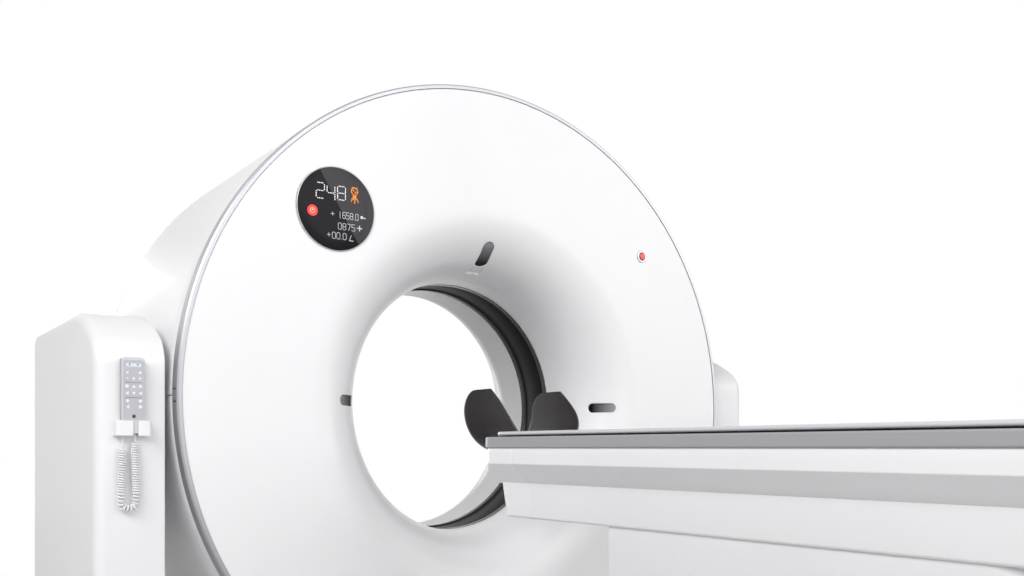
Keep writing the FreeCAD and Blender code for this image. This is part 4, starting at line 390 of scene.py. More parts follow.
def rolled(length):
    """The radius that lies at this distance along the skin, the reverse of unrolled."""
    first = BORE_RADIUS + FLARE_BEND * (1 - np.cos(FLARE_TURN - (FLARE_SEAM - length) / FLARE_BEND))
    second = MOUTH_RADIUS - MOUTH_BEND * np.sin((MOUTH_RADIUS - length) / MOUTH_BEND)
    return np.where(length < FLARE_SEAM, first, np.where(length < MOUTH_RADIUS, second, length))


def slot_line(side):
    """The middle line of a laser slot on the unrolled skin, and its half width."""
    angle, near, far, half = SLOTS[side]
    way = np.round([math.cos(angle), math.sin(angle)], 9)
    return way * (unrolled(near) + half), way * (unrolled(far) - half), half


def nearest_hole(spots, holes):
    """For each spot the gap to the nearest hole's outline, and that hole's nearest middle and radius. A hole
    is a line from start to end with a radius round it."""
    starts, ends, radii = (np.array([hole[part] for hole in holes], float) for part in range(3))
    way = ends - starts
    share = ((spots[..., None, :] - starts) * way).sum(-1) / np.maximum((way**2).sum(-1), 1e-9)
    middles = starts + way * np.clip(share, 0, 1)[..., None]
    gaps = np.linalg.norm(spots[..., None, :] - middles, axis=-1) - radii
    pick = gaps.argmin(-1)[..., None]
    middle = np.take_along_axis(middles, pick[..., None], -2)[..., 0, :]
    return np.take_along_axis(gaps, pick, -1)[..., 0], middle, radii[pick[..., 0]]


def pierce(spots, holes, wrap=True):
    """Fits a grid to holes: of two neighbours on either side of an outline the nearer moves onto it.
    Returns the moved spots, which of them moved, and the faces left outside the holes."""
    gap, middle, radius = nearest_hole(spots, holes)
    moved = np.zeros(gap.shape, bool)
    for axis in (0, 1):
        other = np.roll(gap, -1, axis)
        crossing = gap * other < 0
        if axis == 0 or not wrap:
            crossing[(-1,) if axis == 0 else (slice(None), -1)] = False
        nearer = np.abs(gap) <= np.abs(other)
        moved |= (crossing & nearer) | np.roll(crossing & ~nearer, 1, axis)
    out = (spots - middle) / np.maximum(np.linalg.norm(spots - middle, axis=-1, keepdims=True), 1e-9)
    spots = np.where(moved[..., None], middle + out * radius[..., None], spots)
    gap = np.where(moved, 0, gap)
    rows, columns = gap.shape
    index = np.arange(rows * columns).reshape(rows, columns)
    if wrap:
        index = np.hstack([index, index[:, :1]])
    quads = quads_of(index).reshape(-1, 4)
    signs = np.sign(gap.ravel())[quads]
    centres = spots.reshape(-1, 2)[quads].mean(1)
    kept = (signs >= 0).all(1) & ((signs > 0).any(1) | (nearest_hole(centres, holes)[0] > 0))
    faces = quads[kept].tolist()
    for corner in range(4):
        cut = (signs[:, corner] < 0) & (signs[:, (corner + 2) % 4] > 0)
        cut &= (signs[:, (corner + 1) % 4] == 0) & (signs[:, (corner + 3) % 4] == 0)
        faces += quads[cut][:, [(corner + step) % 4 for step in (1, 2, 3)]].tolist()
    return spots, moved, faces


def wall(thing, thickness):
    """The sheet gets its thickness on its inner side."""
    shell = thing.modifiers.new("wall", "SOLIDIFY")
    shell.thickness = thickness / 1000
    shell.offset = -1
    even_shading(thing)


def close_steps(coarse, zones):
    """Angles in degrees at a coarse spacing, and at a fine one in each zone (middle, half, spacing)."""
    angles = np.arange(0, 360, coarse)
    for middle, half, step in zones:
        away = np.abs((angles - middle + 180) % 360 - 180)
        angles = np.append(angles[away > half + step / 2], middle + np.arange(-half, half + step / 2, step))
    return np.radians(np.sort(angles % 360))


def make_front_cover():
    """The profile is carried round the axis, close by the holes and wide elsewhere, and pierced unrolled."""
    bends = np.radians(np.arange(0, 21.5, 3))
    mouth = np.radians(np.arange(64.5, 90.1, 3))
    radii = np.concatenate([
        BORE_RADIUS + FLARE_BEND * (1 - np.cos(bends)), [SCOOP_NEAR - 0.6, SCOOP_NEAR], np.arange(398, 486, 2.4),
        MOUTH_RADIUS - MOUTH_BEND * np.cos(mouth), np.arange(572, 596, 8), np.arange(597, 731, 4),
        np.arange(732, 774, 2.7), np.arange(776, 822, 4), np.linspace(835, FACE_RADIUS - FACE_EDGE, 5)])
    radii = np.sort(radii)
    corner = np.radians([30, 60, 90])
    profile = np.vstack([
        together(np.linspace(-WINDOW_HALF - WINDOW_GAP, FLARE_START, 4)[:-1], BORE_RADIUS),
        together(flare_depth(radii), radii),
        together(FACE + FACE_EDGE * (1 - np.cos(corner)), FACE_RADIUS - FACE_EDGE * (1 - np.sin(corner))),
        together(np.linspace(FACE + FACE_EDGE, FACE_BACK, 4)[1:], FACE_RADIUS)])
    angles = close_steps(1.5, [(0, 3.25, 0.25), (90, 4.25, 0.25), (180, 3.25, 0.25), (STOP_ANGLE, 1.75, 0.35),
                               (DISPLAY_ANGLE, 9.75, 0.75)])
    skin = turned(profile, angles, up=0)
    way = together(np.cos(angles), np.sin(angles))
    holes = [slot_line(side) for side in SLOTS]
    holes += [(DISPLAY_SPOT, DISPLAY_SPOT, DISPLAY_HOLE), (STOP_SPOT, STOP_SPOT, STOP_HOLE)]
    spots, moved, faces = pierce(way * unrolled(profile[:, 1])[:, None, None], holes)
    length = np.linalg.norm(spots, axis=-1)
    radius = rolled(length)
    depth = np.where(moved, flare_depth(radius), skin[..., 1])
    # the scoop under the top slot lets the laser's fan reach down the bore
    near, far = unrolled(SCOOP_NEAR), unrolled(SCOOP_FAR)
    run = np.where(spots[..., 1] > near - 0.01, np.clip((far - spots[..., 1]) / (far - near), 0, 1), 0)
    side = np.clip((SCOOP_HALF - np.abs(spots[..., 0])) / SCOOP_SIDE, 0, 1)
    sink = SCOOP_DEEP * run * side * side * (3 - 2 * side)
    turn = flare_turn_at(radius)
    depth = depth + sink * np.sin(turn)
    spots = spots * ((radius + sink * np.cos(turn)) / length)[..., None]
    points = together(spots[..., 0], depth, AXIS_HEIGHT + spots[..., 1]).reshape(-1, 3)
    return piece("face_moulding", [cover_lacquer], (points, faces), outwards=False)


face_moulding = make_front_cover()
wall(face_moulding, COVER_WALL)
fasten(face_moulding, "gantry", "cover_white", "front_cover")

# --- Laser windows ---
# Panes of tinted acrylic, glued into the slots from behind and bent like the flare. Painted shade makes
# them darker towards the bore and lighter grey outwards.
PANE_SET = 2.5
pane_acrylic = finish("pane_acrylic", (0.01, 0.009, 0.011), 0.16, cloud=(40.0, 0.2), shine=0.15)
pane_tree = pane_acrylic.node_tree
along_pane = add(pane_tree, "Attribute")
along_pane.attribute_name = "along"
# Painted shade: near black towards the bore, grey at the slot's outer end.
colour_from(pane_acrylic, ramp(pane_tree, along_pane.outputs["Fac"],
                               [(0.15, (0.004, 0.003, 0.004)), (0.95, (0.33, 0.315, 0.33))]))


def make_pane(side):
    """Rings shrink from the slot's outline to its middle line: spot = middle + share * half width round it."""
    start, end, half = slot_line(side)
    way = (end - start) / np.linalg.norm(end - start)
    round_it = np.linspace(-np.pi / 2, np.pi / 2, 17)
    angles = np.concatenate([round_it, round_it + np.pi])
    middles = np.repeat([end, start], len(round_it), axis=0)
    out = np.cos(angles)[:, None] * way + np.sin(angles)[:, None] * np.array([-way[1], way[0]])
    spots = middles + np.linspace(0, 1, 6)[:, None, None] * (half - 0.1) * out
    length = np.linalg.norm(spots, axis=-1, keepdims=True)
    radius = rolled(length)
    turn = flare_turn_at(radius)
    depth = flare_depth(radius) + PANE_SET * np.sin(turn)
    spots = spots * (radius + PANE_SET * np.cos(turn)) / length
    points = np.concatenate([spots[..., :1], depth, AXIS_HEIGHT + spots[..., 1:]], -1)
    pane = piece(f"laser_pane_{side}", [pane_acrylic], surface(points, wrap_columns=True), outwards=False)
    if pane.data.polygons[0].normal.y > 0:
        pane.data.flip_normals()
    places = np.zeros(len(pane.data.vertices) * 3)
    pane.data.vertices.foreach_get("co", places)
    radius = np.linalg.norm(places.reshape(-1, 3)[:, [0, 2]] * 1000 - (0, AXIS_HEIGHT), axis=1)
    _, near, far, _ = SLOTS[side]
    share = ((radius - near) / (far - near)).astype(np.float32)
    pane.data.attributes.new("along", "FLOAT", "POINT").data.foreach_set("value", share)
    wall(pane, COVER_WALL - PANE_SET - 0.1)
    fasten(pane, "gantry", "window_dark", f"laser_window_{side}")


for side in SLOTS:
    make_pane(side)

# --- Trim ring ---
# A rolled aluminium band round the face, brushed and clear anodised, with a bevelled front edge. At the
# level of the axis it has two short slots on each side for its clips, drawn as dark patches of painted shadow.
RING_FRONT, RING_INSIDE, CASING_RADIUS = -332, 899.5, 912
CLIP_MIDDLE, CLIP_OFFSET = -310, 15.5
ring_aluminium = finish("ring_aluminium", (0.40, 0.395, 0.42), 0.38, metal=0.85, cloud=(5.0, 0.03),
                        grain=(240.0, 0.06, 0.00003), stretch=(1, 12, 1))
clip_shadow = finish("clip_shadow", (0.02, 0.02, 0.022), 0.5, cloud=(90.0, 0.2))
trim_band = piece("trim_band", [ring_aluminium], ring(
    [(RING_FRONT, RING_INSIDE), (RING_FRONT, CASING_RADIUS - 4), (RING_FRONT + 4, CASING_RADIUS),
     (FACE_BACK, CASING_RADIUS), (FACE_BACK, RING_INSIDE)], [0.8, 1.5, 1.5, 0.4, 0.4], 360, steps=4))
even_shading(trim_band)
fasten(trim_band, "gantry", "ring_silver", "trim_ring")


def clip_slot(angle):
    """A dark patch with round ends, bent like the band, as the painted shadow in a clip slot: depth along it, angle
    across it.
    """
    edge = rounded_box(-12, 12, -1.8, 1.8, 1.7, 5)
    share, lift = np.array([(0.0, 0.15), (0.9, 0.15), (1.0, 0.0)]).T[:, :, None]
    turn = angle + edge[:, 1] * share / CASING_RADIUS
    radius = CASING_RADIUS + lift - 0.02
    return surface(together(radius * np.cos(turn), edge[:, 0] * share + CLIP_MIDDLE,
                            AXIS_HEIGHT + radius * np.sin(turn)), wrap_columns=True)


trim_slots = piece("trim_slots", [clip_shadow], *(
    clip_slot(side + sign * CLIP_OFFSET / CASING_RADIUS) for side in (0, math.pi) for sign in (-1, 1)))
fasten(trim_slots, "gantry", "ring_silver")

# --- Side covers ---
# Two half barrels of the same moulding behind the trim ring, split at the level of the axis. The lower
# one's rear edge is cut back so that the gantry clears the floor when it tilts.
BARREL_FRONT, BARREL_REAR = -289.7, 469.7
SWING_RADIUS = 985
TRUNNION_HOLE = 76


def swing_limit(depth, angle):
    """The largest radius that a point may have low behind the scan plane: the swing's height over the sine."""
    low = np.maximum(-np.sin(angle), 1e-6)
    limit = np.sqrt(SWING_RADIUS**2 - depth**2) / low
    return np.where((depth > 0) & (np.sin(angle) < -0.5), limit, np.inf)


def make_side_cover(name, first, last):
    """Half a barrel between two angles in degrees: rows and columns close up at the hole and the edges."""
    turns = np.concatenate([np.arange(first, first + 7, 0.6), np.arange(first + 7, last - 7, 1.5),
                            np.arange(last, last - 7, -0.6)])
    angles = np.radians(np.unique(np.round(turns, 3)))
    rows = np.concatenate([[BARREL_FRONT, -240, -180, -130], np.arange(-95, 96, 9.5),
                           [130, 190, 250, 310, 350], np.arange(370, 465, 10), [BARREL_REAR]])
    depth, angle = np.meshgrid(rows, angles, indexing="ij")
    radius = np.minimum(CASING_RADIUS, swing_limit(depth, angle))
    height = radius * np.sin(angle)
    spots, _, faces = pierce(together(depth, height), [((0, 0), (0, 0), TRUNNION_HOLE)], wrap=False)
    across = np.sign(np.cos(angle)) * np.sqrt(np.maximum(radius**2 - spots[..., 1]**2, 0))
    points = together(across, spots[..., 0], AXIS_HEIGHT + spots[..., 1]).reshape(-1, 3)
    return piece(name, [cover_lacquer], (points, faces), outwards=False)


for place, (first, last) in {"upper": (0.063, 179.937), "lower": (-179.937, -0.063)}.items():
    barrel = make_side_cover(f"barrel_{place}", first, last)
    wall(barrel, COVER_WALL)
    fasten(barrel, "gantry", "cover_white", f"side_cover_{place}")

# --- Rear cover ---
# The white back of the gantry: a rounded rim, a flat ring face, and a cone that opens from the bore. Its
# low corner follows the swing of the tilt.
REAR = 530
REAR_EDGE = 25
BROW_CENTRE, BROW_BEND = (398.2, 651.0), 131.8
CONE_TURN = math.radians(33)
REAR_BEND_CENTRE, REAR_BEND = (176, 538), 158


def rear_arc(centre, bend, turns):
    """An arc of the profile: depth is centre + bend sin, radius is centre - bend cos."""
    return together(centre[0] + bend * np.sin(turns), centre[1] - bend * np.cos(turns))


def make_rear_cover():
    """The profile carried round the axis. Low down the face shrinks towards its inner edge by the share that
    the swing leaves it."""
    edge = np.linspace(0, np.pi / 2, 8)
    profile = np.vstack([
        [(470, CASING_RADIUS), (488, CASING_RADIUS)],
        together(REAR - REAR_EDGE * (1 - np.sin(edge)), CASING_RADIUS - REAR_EDGE * (1 - np.cos(edge))),
        together(REAR, np.linspace(870, 665, 7)),
        rear_arc(BROW_CENTRE, BROW_BEND, np.linspace(np.pi / 2, CONE_TURN, 16)), [(400, 495), (330, 449.6)],
        rear_arc(REAR_BEND_CENTRE, REAR_BEND, np.linspace(CONE_TURN, 0, 12)),
        [(140, BORE_RADIUS), (WINDOW_HALF + WINDOW_GAP, BORE_RADIUS)]])
    angles = full_turn(300)
    depth, radius = np.broadcast_arrays(profile[:, :1], profile[:, 1:] + 0 * angles)
    inner, outer = BROW_CENTRE[1], CASING_RADIUS - REAR_EDGE
    face_limit = np.minimum(outer, swing_limit(np.full_like(depth, REAR), angles[None, :]))
    on_face = (depth > REAR - 0.01) & (radius > inner)
    scaled = inner + (radius - inner) * (face_limit - inner) / (outer - inner)
    radius = np.where(on_face, scaled, np.minimum(radius, swing_limit(depth, angles[None, :])))
    points = together(radius * np.cos(angles), depth, AXIS_HEIGHT + radius * np.sin(angles))
    return piece("rear_moulding", [cover_lacquer], surface(points, wrap_columns=True), outwards=False)


rear_moulding = make_rear_cover()
wall(rear_moulding, COVER_WALL)
fasten(rear_moulding, "gantry", "cover_white", "rear_cover")

# --- Display ---
# A round black glass over a lit panel, in a thin satin silver bezel. It shows a number in a dot matrix,
# an orange and a red lamp sign, and three rows with the table's numbers. The right part of the glass
# carries a painted reflection: it is coloured lighter there, like a lamp's glare on it.
DISPLAY_X, DISPLAY_Z = DISPLAY_SPOT[0], AXIS_HEIGHT + DISPLAY_SPOT[1]
DISPLAY_RADIUS, GLASS_RADIUS = 111, 108.6
BEZEL_FRONT, FLANGE_BACK, PLUG_END, GLASS_FRONT = -333, -330.3, -300, -332.2
DOT_RADIUS = 1.4
bezel_satin = finish("bezel_satin", (0.40, 0.395, 0.41), 0.34, metal=1.0, cloud=(20.0, 0.04),
                     grain=(400.0, 0.05, 0.00002))
display_glass = finish("display_glass", (0.012, 0.010, 0.012), 0.18, cloud=(12.0, 0.1),
                       grain=(300.0, 0.02, 0.00001), shine=0.08)
display_bezel = piece("bezel_ring", [bezel_satin], ring(
    [(BEZEL_FRONT, GLASS_RADIUS), (BEZEL_FRONT, DISPLAY_RADIUS - 1), (FLANGE_BACK, DISPLAY_RADIUS),
     (FLANGE_BACK, DISPLAY_RADIUS - 2), (PLUG_END, DISPLAY_RADIUS - 2), (PLUG_END, GLASS_RADIUS)],
    [0.4, 0.9, 0.3, 0.1, 0.1, 0.1], 144, DISPLAY_X, DISPLAY_Z, 4))
even_shading(display_bezel)
fasten(display_bezel, "gantry", "bezel_silver", "display_bezel")
# Painted reflection: beyond a slanted line the glass colour turns lighter, like a lamp's glare on it.
GLARE_WAY, GLARE_OFFSET, GLARE_BLUR = (0.859, 0, 0.512), 10.5, 0.6
glare_start = GLARE_WAY[0] * DISPLAY_X + GLARE_WAY[2] * DISPLAY_Z + GLARE_OFFSET
glass_tree = display_glass.node_tree
glare_side = add(glass_tree, "VectorMath", {0: add(glass_tree, "TexCoord").outputs["Object"]}, {1: GLARE_WAY},
                 "DOT_PRODUCT")
glare_edge = add(glass_tree, "MapRange", {"Value": glare_side.outputs["Value"]},
                 {"From Min": (glare_start - GLARE_BLUR) / 1000, "From Max": (glare_start + GLARE_BLUR) / 1000})
colour_from(display_glass, ramp(glass_tree, glare_edge.outputs["Result"],
                                [(0, (0.012, 0.010, 0.012)), (1, (0.062, 0.058, 0.062))]))
glass_profile = [(GLASS_FRONT, 0), (GLASS_FRONT, 40), (GLASS_FRONT, 80), (GLASS_FRONT, GLASS_RADIUS - 1),
                 (GLASS_FRONT + 0.3, GLASS_RADIUS - 0.4), (PLUG_END, GLASS_RADIUS - 0.3), (PLUG_END, 0)]
glass_disc = piece("display_disc", [display_glass],
                   surface(turned(glass_profile, full_turn(120), DISPLAY_X, DISPLAY_Z), wrap_columns=True))
glass_disc.data.set_sharp_from_angle(angle=math.radians(35))
fasten(glass_disc, "gantry", "display_black", "display_glass")

STROKES = {
    "0": [(0, 0.15), (0, 0.85), (0.2, 1), (0.8, 1), (1, 0.85), (1, 0.15), (0.8, 0), (0.2, 0), (0, 0.15)],
    "1": [(0.5, 0), (0.5, 1)],
    "5": [(1, 1), (0, 1), (0, 0.55), (0.8, 0.55), (1, 0.4), (1, 0.15), (0.8, 0), (0, 0)],
    "6": [(1, 1), (0.3, 1), (0, 0.8), (0, 0.15), (0.2, 0), (0.8, 0), (1, 0.15), (1, 0.4), (0.8, 0.55), (0, 0.55)],
    "7": [(0, 1), (1, 1), (0.45, 0)],
    "8": [(0.2, 0.5), (0, 0.65), (0, 0.85), (0.2, 1), (0.8, 1), (1, 0.85), (1, 0.65), (0.8, 0.5), (0.2, 0.5),
          (0, 0.35), (0, 0.15), (0.2, 0), (0.8, 0), (1, 0.15), (1, 0.35), (0.8, 0.5)],
}


def on_glass(across, up, lift):
    """Places in front of the glass, from its middle."""
    return together(DISPLAY_X + across, GLASS_FRONT - lift, DISPLAY_Z + up)


def lit_strip(ends, thick):
    """Flat strips on the glass between each two ends: four corners at half the thickness to either side."""
    ends = np.asarray(ends, float)
    starts, stops = ends[:-1], ends[1:]
    way = (stops - starts) / np.linalg.norm(stops - starts, axis=1, keepdims=True) * thick / 2
    side = together(way[:, 1], -way[:, 0])
    corners = np.stack([starts - side - way, starts + side - way, stops + side + way, stops - side + way], 1)
    lift = 0.05 + 0.01 * (np.arange(len(starts)) % 3)[:, None]
    points = on_glass(corners[..., 0], corners[..., 1], lift)
    return points.reshape(-1, 3), np.arange(len(starts) * 4).reshape(-1, 4)[:, ::-1].tolist()


def lit_disc(across, up, radius, count=24, lift=0.05):
    """A flat round spot on the glass."""
    angles = full_turn(count)
    points = on_glass(across + radius * np.cos(angles), up + radius * np.sin(angles), lift)
    return points, [list(range(count))]


def lit_hoop(across, up, inside, outside, lift=0.1):
    """A thin flat hoop on a sign: two circles joined."""
    angles, radii = full_turn(28), np.array([[inside], [outside]])
    return surface(on_glass(across + radii * np.cos(angles), up + radii * np.sin(angles), lift),
                   wrap_columns=True)


SEGMENTS = {"top": ((0.2, 1), (0.8, 1)), "middle": ((0.2, 0.5), (0.8, 0.5)), "bottom": ((0.2, 0), (0.8, 0)),
            "upper left": ((0, 0.9), (0, 0.58)), "lower left": ((0, 0.42), (0, 0.1)),
            "upper right": ((1, 0.9), (1, 0.58)), "lower right": ((1, 0.42), (1, 0.1))}
LIT = {"2": ("top", "upper right", "middle", "lower left", "bottom"),
       "4": ("upper left", "upper right", "middle", "lower right"),
       "8": ("top", "upper left", "upper right", "middle", "lower left", "lower right", "bottom")}


def matrix_digit(digit, left, right, bottom, top):
    """A digit of dotted segments: four dots along each lit one."""
    spots = []
    for segment in LIT[digit]:
        start, end = np.array(SEGMENTS[segment]) * (right - left, top - bottom) + (left, bottom)
        spots.append(start + (end - start) * np.linspace(0, 1, 4)[:, None])
    return [lit_disc(across, up, DOT_RADIUS, 10) for across, up in np.vstack(spots)]


def plain_digits(text, left, bottom, wide, high, pitch, thick):
    """Digits drawn as thin strips. A point takes four tenths of a digit's room."""
    strips, place = [], left
    for digit in text:
        if digit == "+":
            middle, half = np.array([place + wide / 2, bottom + high / 2]), wide / 2
            strips += [lit_strip([middle - arm, middle + arm], thick) for arm in ((half, 0), (0, half))]
        elif digit == ".":
            strips.append(lit_disc(place + wide * 0.1, bottom, thick * 0.8, 8))
        else:
            strips.append(lit_strip(np.array(STROKES[digit]) * (wide, high) + (place, bottom), thick))
        place += pitch * (0.4 if digit == "." else 1)
    return strips


def lamp(name, colour, strength):
    """A lit print: the finish glows with its own colour."""
    stuff = finish(name, colour, 0.4, cloud=(30.0, 0.04))
    shader = stuff.node_tree.nodes["Principled BSDF"]
    shader.inputs["Emission Color"].default_value = (*colour, 1)
    shader.inputs["Emission Strength"].default_value = strength
    return stuff


white_print = lamp("white_print", (0.80, 0.80, 0.82), 0.75)
grey_print = lamp("grey_print", (0.50, 0.50, 0.52), 0.5)
lamp_orange = lamp("lamp_orange", (0.66, 0.22, 0.01), 0.35)
lamp_red = lamp("lamp_red", (0.80, 0.035, 0.02), 0.35)
lamp_pink = lamp("lamp_pink", (0.95, 0.45, 0.38), 0.3)
LIT_PRINTS = {
    "display_figures": (white_print, [
        *matrix_digit("2", -57, -34, 22.5, 62.5), *matrix_digit("4", -26.5, -4.5, 20, 60),
        *matrix_digit("8", 3.2, 25.7, 25.5, 61)]),
    "display_rows": (grey_print, [
        *plain_digits("+", -15.5, -18.5, 9, 10, 11, 1.2),
        *plain_digits("1658.0", 6.5, -22.5, 7.8, 16.5, 11.0, 1.15),
        *plain_digits("0875", 5.0, -52.0, 9.0, 16.5, 13.0, 1.15),
        *plain_digits("+", -26.0, -74.5, 9, 10, 11, 1.2),
        *plain_digits("00.0", -12.0, -78.0, 9.2, 16.5, 12.8, 1.15),
        lit_disc(73, -13, 4.2), lit_strip([(73, -13), (84, -14.5)], 2.2),
        lit_strip([(60, -43), (73, -43)], 2.6), lit_strip([(66.5, -49), (66.5, -37)], 2.6),
        lit_strip([(37, -79), (42.5, -65)], 1.4), lit_strip([(37, -79), (48, -79)], 1.8)]),
    "orange_sign": (lamp_orange, [
        lit_hoop(52, 53.5, 7.6, 10.6, lift=0.05), lit_disc(49, 55.5, 2.2, 12), lit_disc(55, 51.5, 2.6, 12),
        lit_strip([(44.5, 63.5), (59.5, 63.5)], 1.6), lit_strip([(52, 41.5), (52, 36)], 11),
        lit_strip([(45, 34), (42.5, 26)], 2.6), lit_strip([(52, 33), (52.4, 22)], 2.8),
        lit_strip([(59, 34), (62.5, 26)], 2.6)]),
    "red_sign": (lamp_red, [lit_disc(-67, -12, 14.5, 32)]),
    "sign_marks": (lamp_pink, [lit_hoop(-67, -12, 5.6, 7.4), lit_disc(-67, -10.5, 2.2, 12, 0.1)])}
for print_name, (print_lamp, shapes) in LIT_PRINTS.items():
    fasten(piece(print_name, [print_lamp], *shapes, outwards=False), "gantry", "display_black")

# --- Emergency stop ---
# A red mushroom button, moulded in one glossy piece, in a turned silver collar that plugs into the face.
# Its stem ends short of the collar's floor, which leaves it room to be pressed.
STOP_X, STOP_Z = STOP_SPOT[0], AXIS_HEIGHT + STOP_SPOT[1]
COLLAR_INSIDE, COLLAR_FLANGE, COLLAR_PLUG, COLLAR_FLOOR = 13.4, 19.5, 16, -306
CAP_RADIUS, STEM_RADIUS, STEM_END = 13, 6, -310.5
button_gloss = finish("button_gloss", (0.62, 0.012, 0.010), 0.18, cloud=(60.0, 0.06), coat=0.4)
stop_collar = piece("stop_collar", [bezel_satin], ring(
    [(BEZEL_FRONT, COLLAR_INSIDE), (BEZEL_FRONT, COLLAR_FLANGE), (FLANGE_BACK, COLLAR_FLANGE),
     (FLANGE_BACK, COLLAR_PLUG), (PLUG_END, COLLAR_PLUG), (PLUG_END, 0.5), (COLLAR_FLOOR, 0.5),
     (COLLAR_FLOOR, COLLAR_INSIDE)], [0.6, 1.2, 0.3, 0.3, 0.3, 0.2, 0.2, 0.3], 96, STOP_X, STOP_Z, 4))
even_shading(stop_collar)
fasten(stop_collar, "gantry", "bezel_silver", "e_stop_bezel")
crown = np.linspace(0, np.pi / 2, 9)
button_profile = np.vstack([
    together(-336 + 0.9 * (1 - np.cos(crown * 0.9)), 10.4 * np.sin(crown)),
    together(-335.1 + 2.4 * (1 - np.cos(crown)), 10.5 + 2.5 * np.sin(crown)),
    [(-322, CAP_RADIUS), (-322, STEM_RADIUS), (STEM_END, STEM_RADIUS), (STEM_END, 0)]])
stop_button = piece("stop_button", [button_gloss],
                    surface(turned(button_profile, full_turn(64), STOP_X, STOP_Z), wrap_columns=True))
fasten(stop_button, "stop_button", "button_red", "e_stop_button")

# --- Stand covers ---
# The white pods that hide the stands: vacuum-formed shells 5 mm thick on a foot flange, open below, with a
# hole for the trunnion in the inner wall. The outer edge is well rounded, the one beside the gantry tight.
POD_INNER, POD_OUTER, POD_FRONT, POD_REAR, POD_TOP, POD_BOTTOM = 927, 1090, -285, 535, 1240, 20
POD_WALL, POD_EDGE, POD_SEAM_EDGE = 5, 28, 3
BROW = ((-200, 1089.9), 85)
POD_CROWN = ((6.5, 795.0), 445)
TAIL = ((485, 1190), 50)
BROW_TURN = math.radians(55)
pod_lacquer = finish("pod_lacquer", (0.86, 0.852, 0.866), 0.36, cloud=(1.8, 0.012), grain=(260.0, 0.04, 0.00005),
                     coat=0.12)


def pod_side(inset):
    """Side view of the pod from front foot to rear foot, moved inwards: each bend's radius shrinks by it."""
    def arc(bend, start, end, count):
        angles = np.linspace(start, end, count)
        (depth, height), radius = bend
        return together(depth - (radius - inset) * np.cos(angles), height + (radius - inset) * np.sin(angles))
    return np.vstack([
        together(POD_FRONT + inset, np.linspace(POD_BOTTOM, 1080, 12)), arc(BROW, 0, BROW_TURN, 16),
        arc(POD_CROWN, BROW_TURN, np.pi / 2, 24)[1:], together(np.linspace(60, 430, 6), POD_TOP - inset),
        arc(TAIL, np.pi / 2, np.pi, 14), together(POD_REAR - inset, np.linspace(1130, POD_BOTTOM, 10))])


def make_pod(side, sign):
    """The side view carried across: inset by 1 - sin and set in by 1 - cos of the rounding's turn."""
    turn = np.linspace(0, np.pi / 2, 9)
    insets = np.concatenate([POD_EDGE * (1 - np.sin(turn)), POD_SEAM_EDGE * (1 - np.cos(turn))])
    places = np.concatenate([POD_OUTER - POD_EDGE * (1 - np.cos(turn)),
                             POD_INNER + POD_SEAM_EDGE * (1 - np.sin(turn))])
    outlines = np.stack([pod_side(inset) for inset in insets])
    skin = np.concatenate([np.broadcast_to((sign * places)[:, None, None], (*outlines.shape[:2], 1)), outlines], -1)
    edge = skin[-1]
    foot = np.linspace(edge[-1], edge[0], 8)[1:-1]
    rim = np.vstack([edge, foot])
    out = rim[:, 1:] - (0, AXIS_HEIGHT)
    out /= np.linalg.norm(out, axis=1, keepdims=True)
    hole = np.hstack([rim[:, :1], out * TRUNNION_HOLE + (0, AXIS_HEIGHT)])
    inner_wall = rim + (hole - rim) * np.linspace(0, 1, 5)[:, None, None]
    outer = list(range(skin.shape[1]))
    pod = piece(f"pod_shell_{side}", [pod_lacquer], surface(skin), (skin[0], [outer]),
                surface(inner_wall, wrap_columns=True))
    wall(pod, POD_WALL)
    fasten(pod, "base", "pod_white", f"pod_cover_{side}")


for side, sign in (("left", -1), ("right", 1)):
    make_pod(side, sign)

# --- Hand control ---
# A slim grey plastic remote with a membrane keypad: a small window at its head, rows of white keys, two
# printed lines and a black key at the foot. It stands in a moulded cup on the left pod.
HANDSET_X, HANDSET_BACK, HANDSET_FRONT, HANDSET_FOOT, HANDSET_HEAD = -1006, -289, -307, 926, 1106
HANDSET_HALF = 26
handset_shell = finish("handset_shell", (0.66, 0.65, 0.68), 0.42, cloud=(25.0, 0.03), grain=(900.0, 0.06, 0.00006))
keypad_film = finish("keypad_film", (0.49, 0.49, 0.53), 0.36, cloud=(30.0, 0.03), grain=(1200.0, 0.05, 0.00003))
key_white = finish("key_white", (0.85, 0.85, 0.88), 0.35, cloud=(80.0, 0.03))
key_black = finish("key_black", (0.015, 0.015, 0.018), 0.3, cloud=(90.0, 0.2))
line_grey = finish("line_grey", (0.25, 0.24, 0.28), 0.4, cloud=(90.0, 0.05))
window_blue = finish("window_blue", (0.70, 0.78, 0.86), 0.12, cloud=(60.0, 0.04), coat=0.5)


def plate(half, low, high, bottom, top, corner, edge):
    """A plate with round corners and a rounded front edge, front at low: its outline shrinks as it curves."""
    turn = np.linspace(0, np.pi / 2, 5)
    insets = np.concatenate([[0], edge * (1 - np.cos(turn))])
    depths = np.concatenate([[high], low + edge * (1 - np.sin(turn))])
    rows = []
    for inset, depth in zip(insets, depths):
        loop = rounded_box(HANDSET_X - half + inset, HANDSET_X + half - inset, bottom + inset, top - inset,
                           max(corner - inset, 0.05))
        rows.append(np.insert(loop, 1, depth, axis=1))
    return surface(np.stack(rows), wrap_columns=True, caps=True)


KEY_CORNERS = {"disc": full_turn(16), "up": np.radians([90, 210, 330]), "down": np.radians([270, 30, 150]),
               "left": np.radians([180, 300, 60]), "diamond": np.radians([0, 90, 180, 270]),
               "square": np.radians([45, 135, 225, 315])}


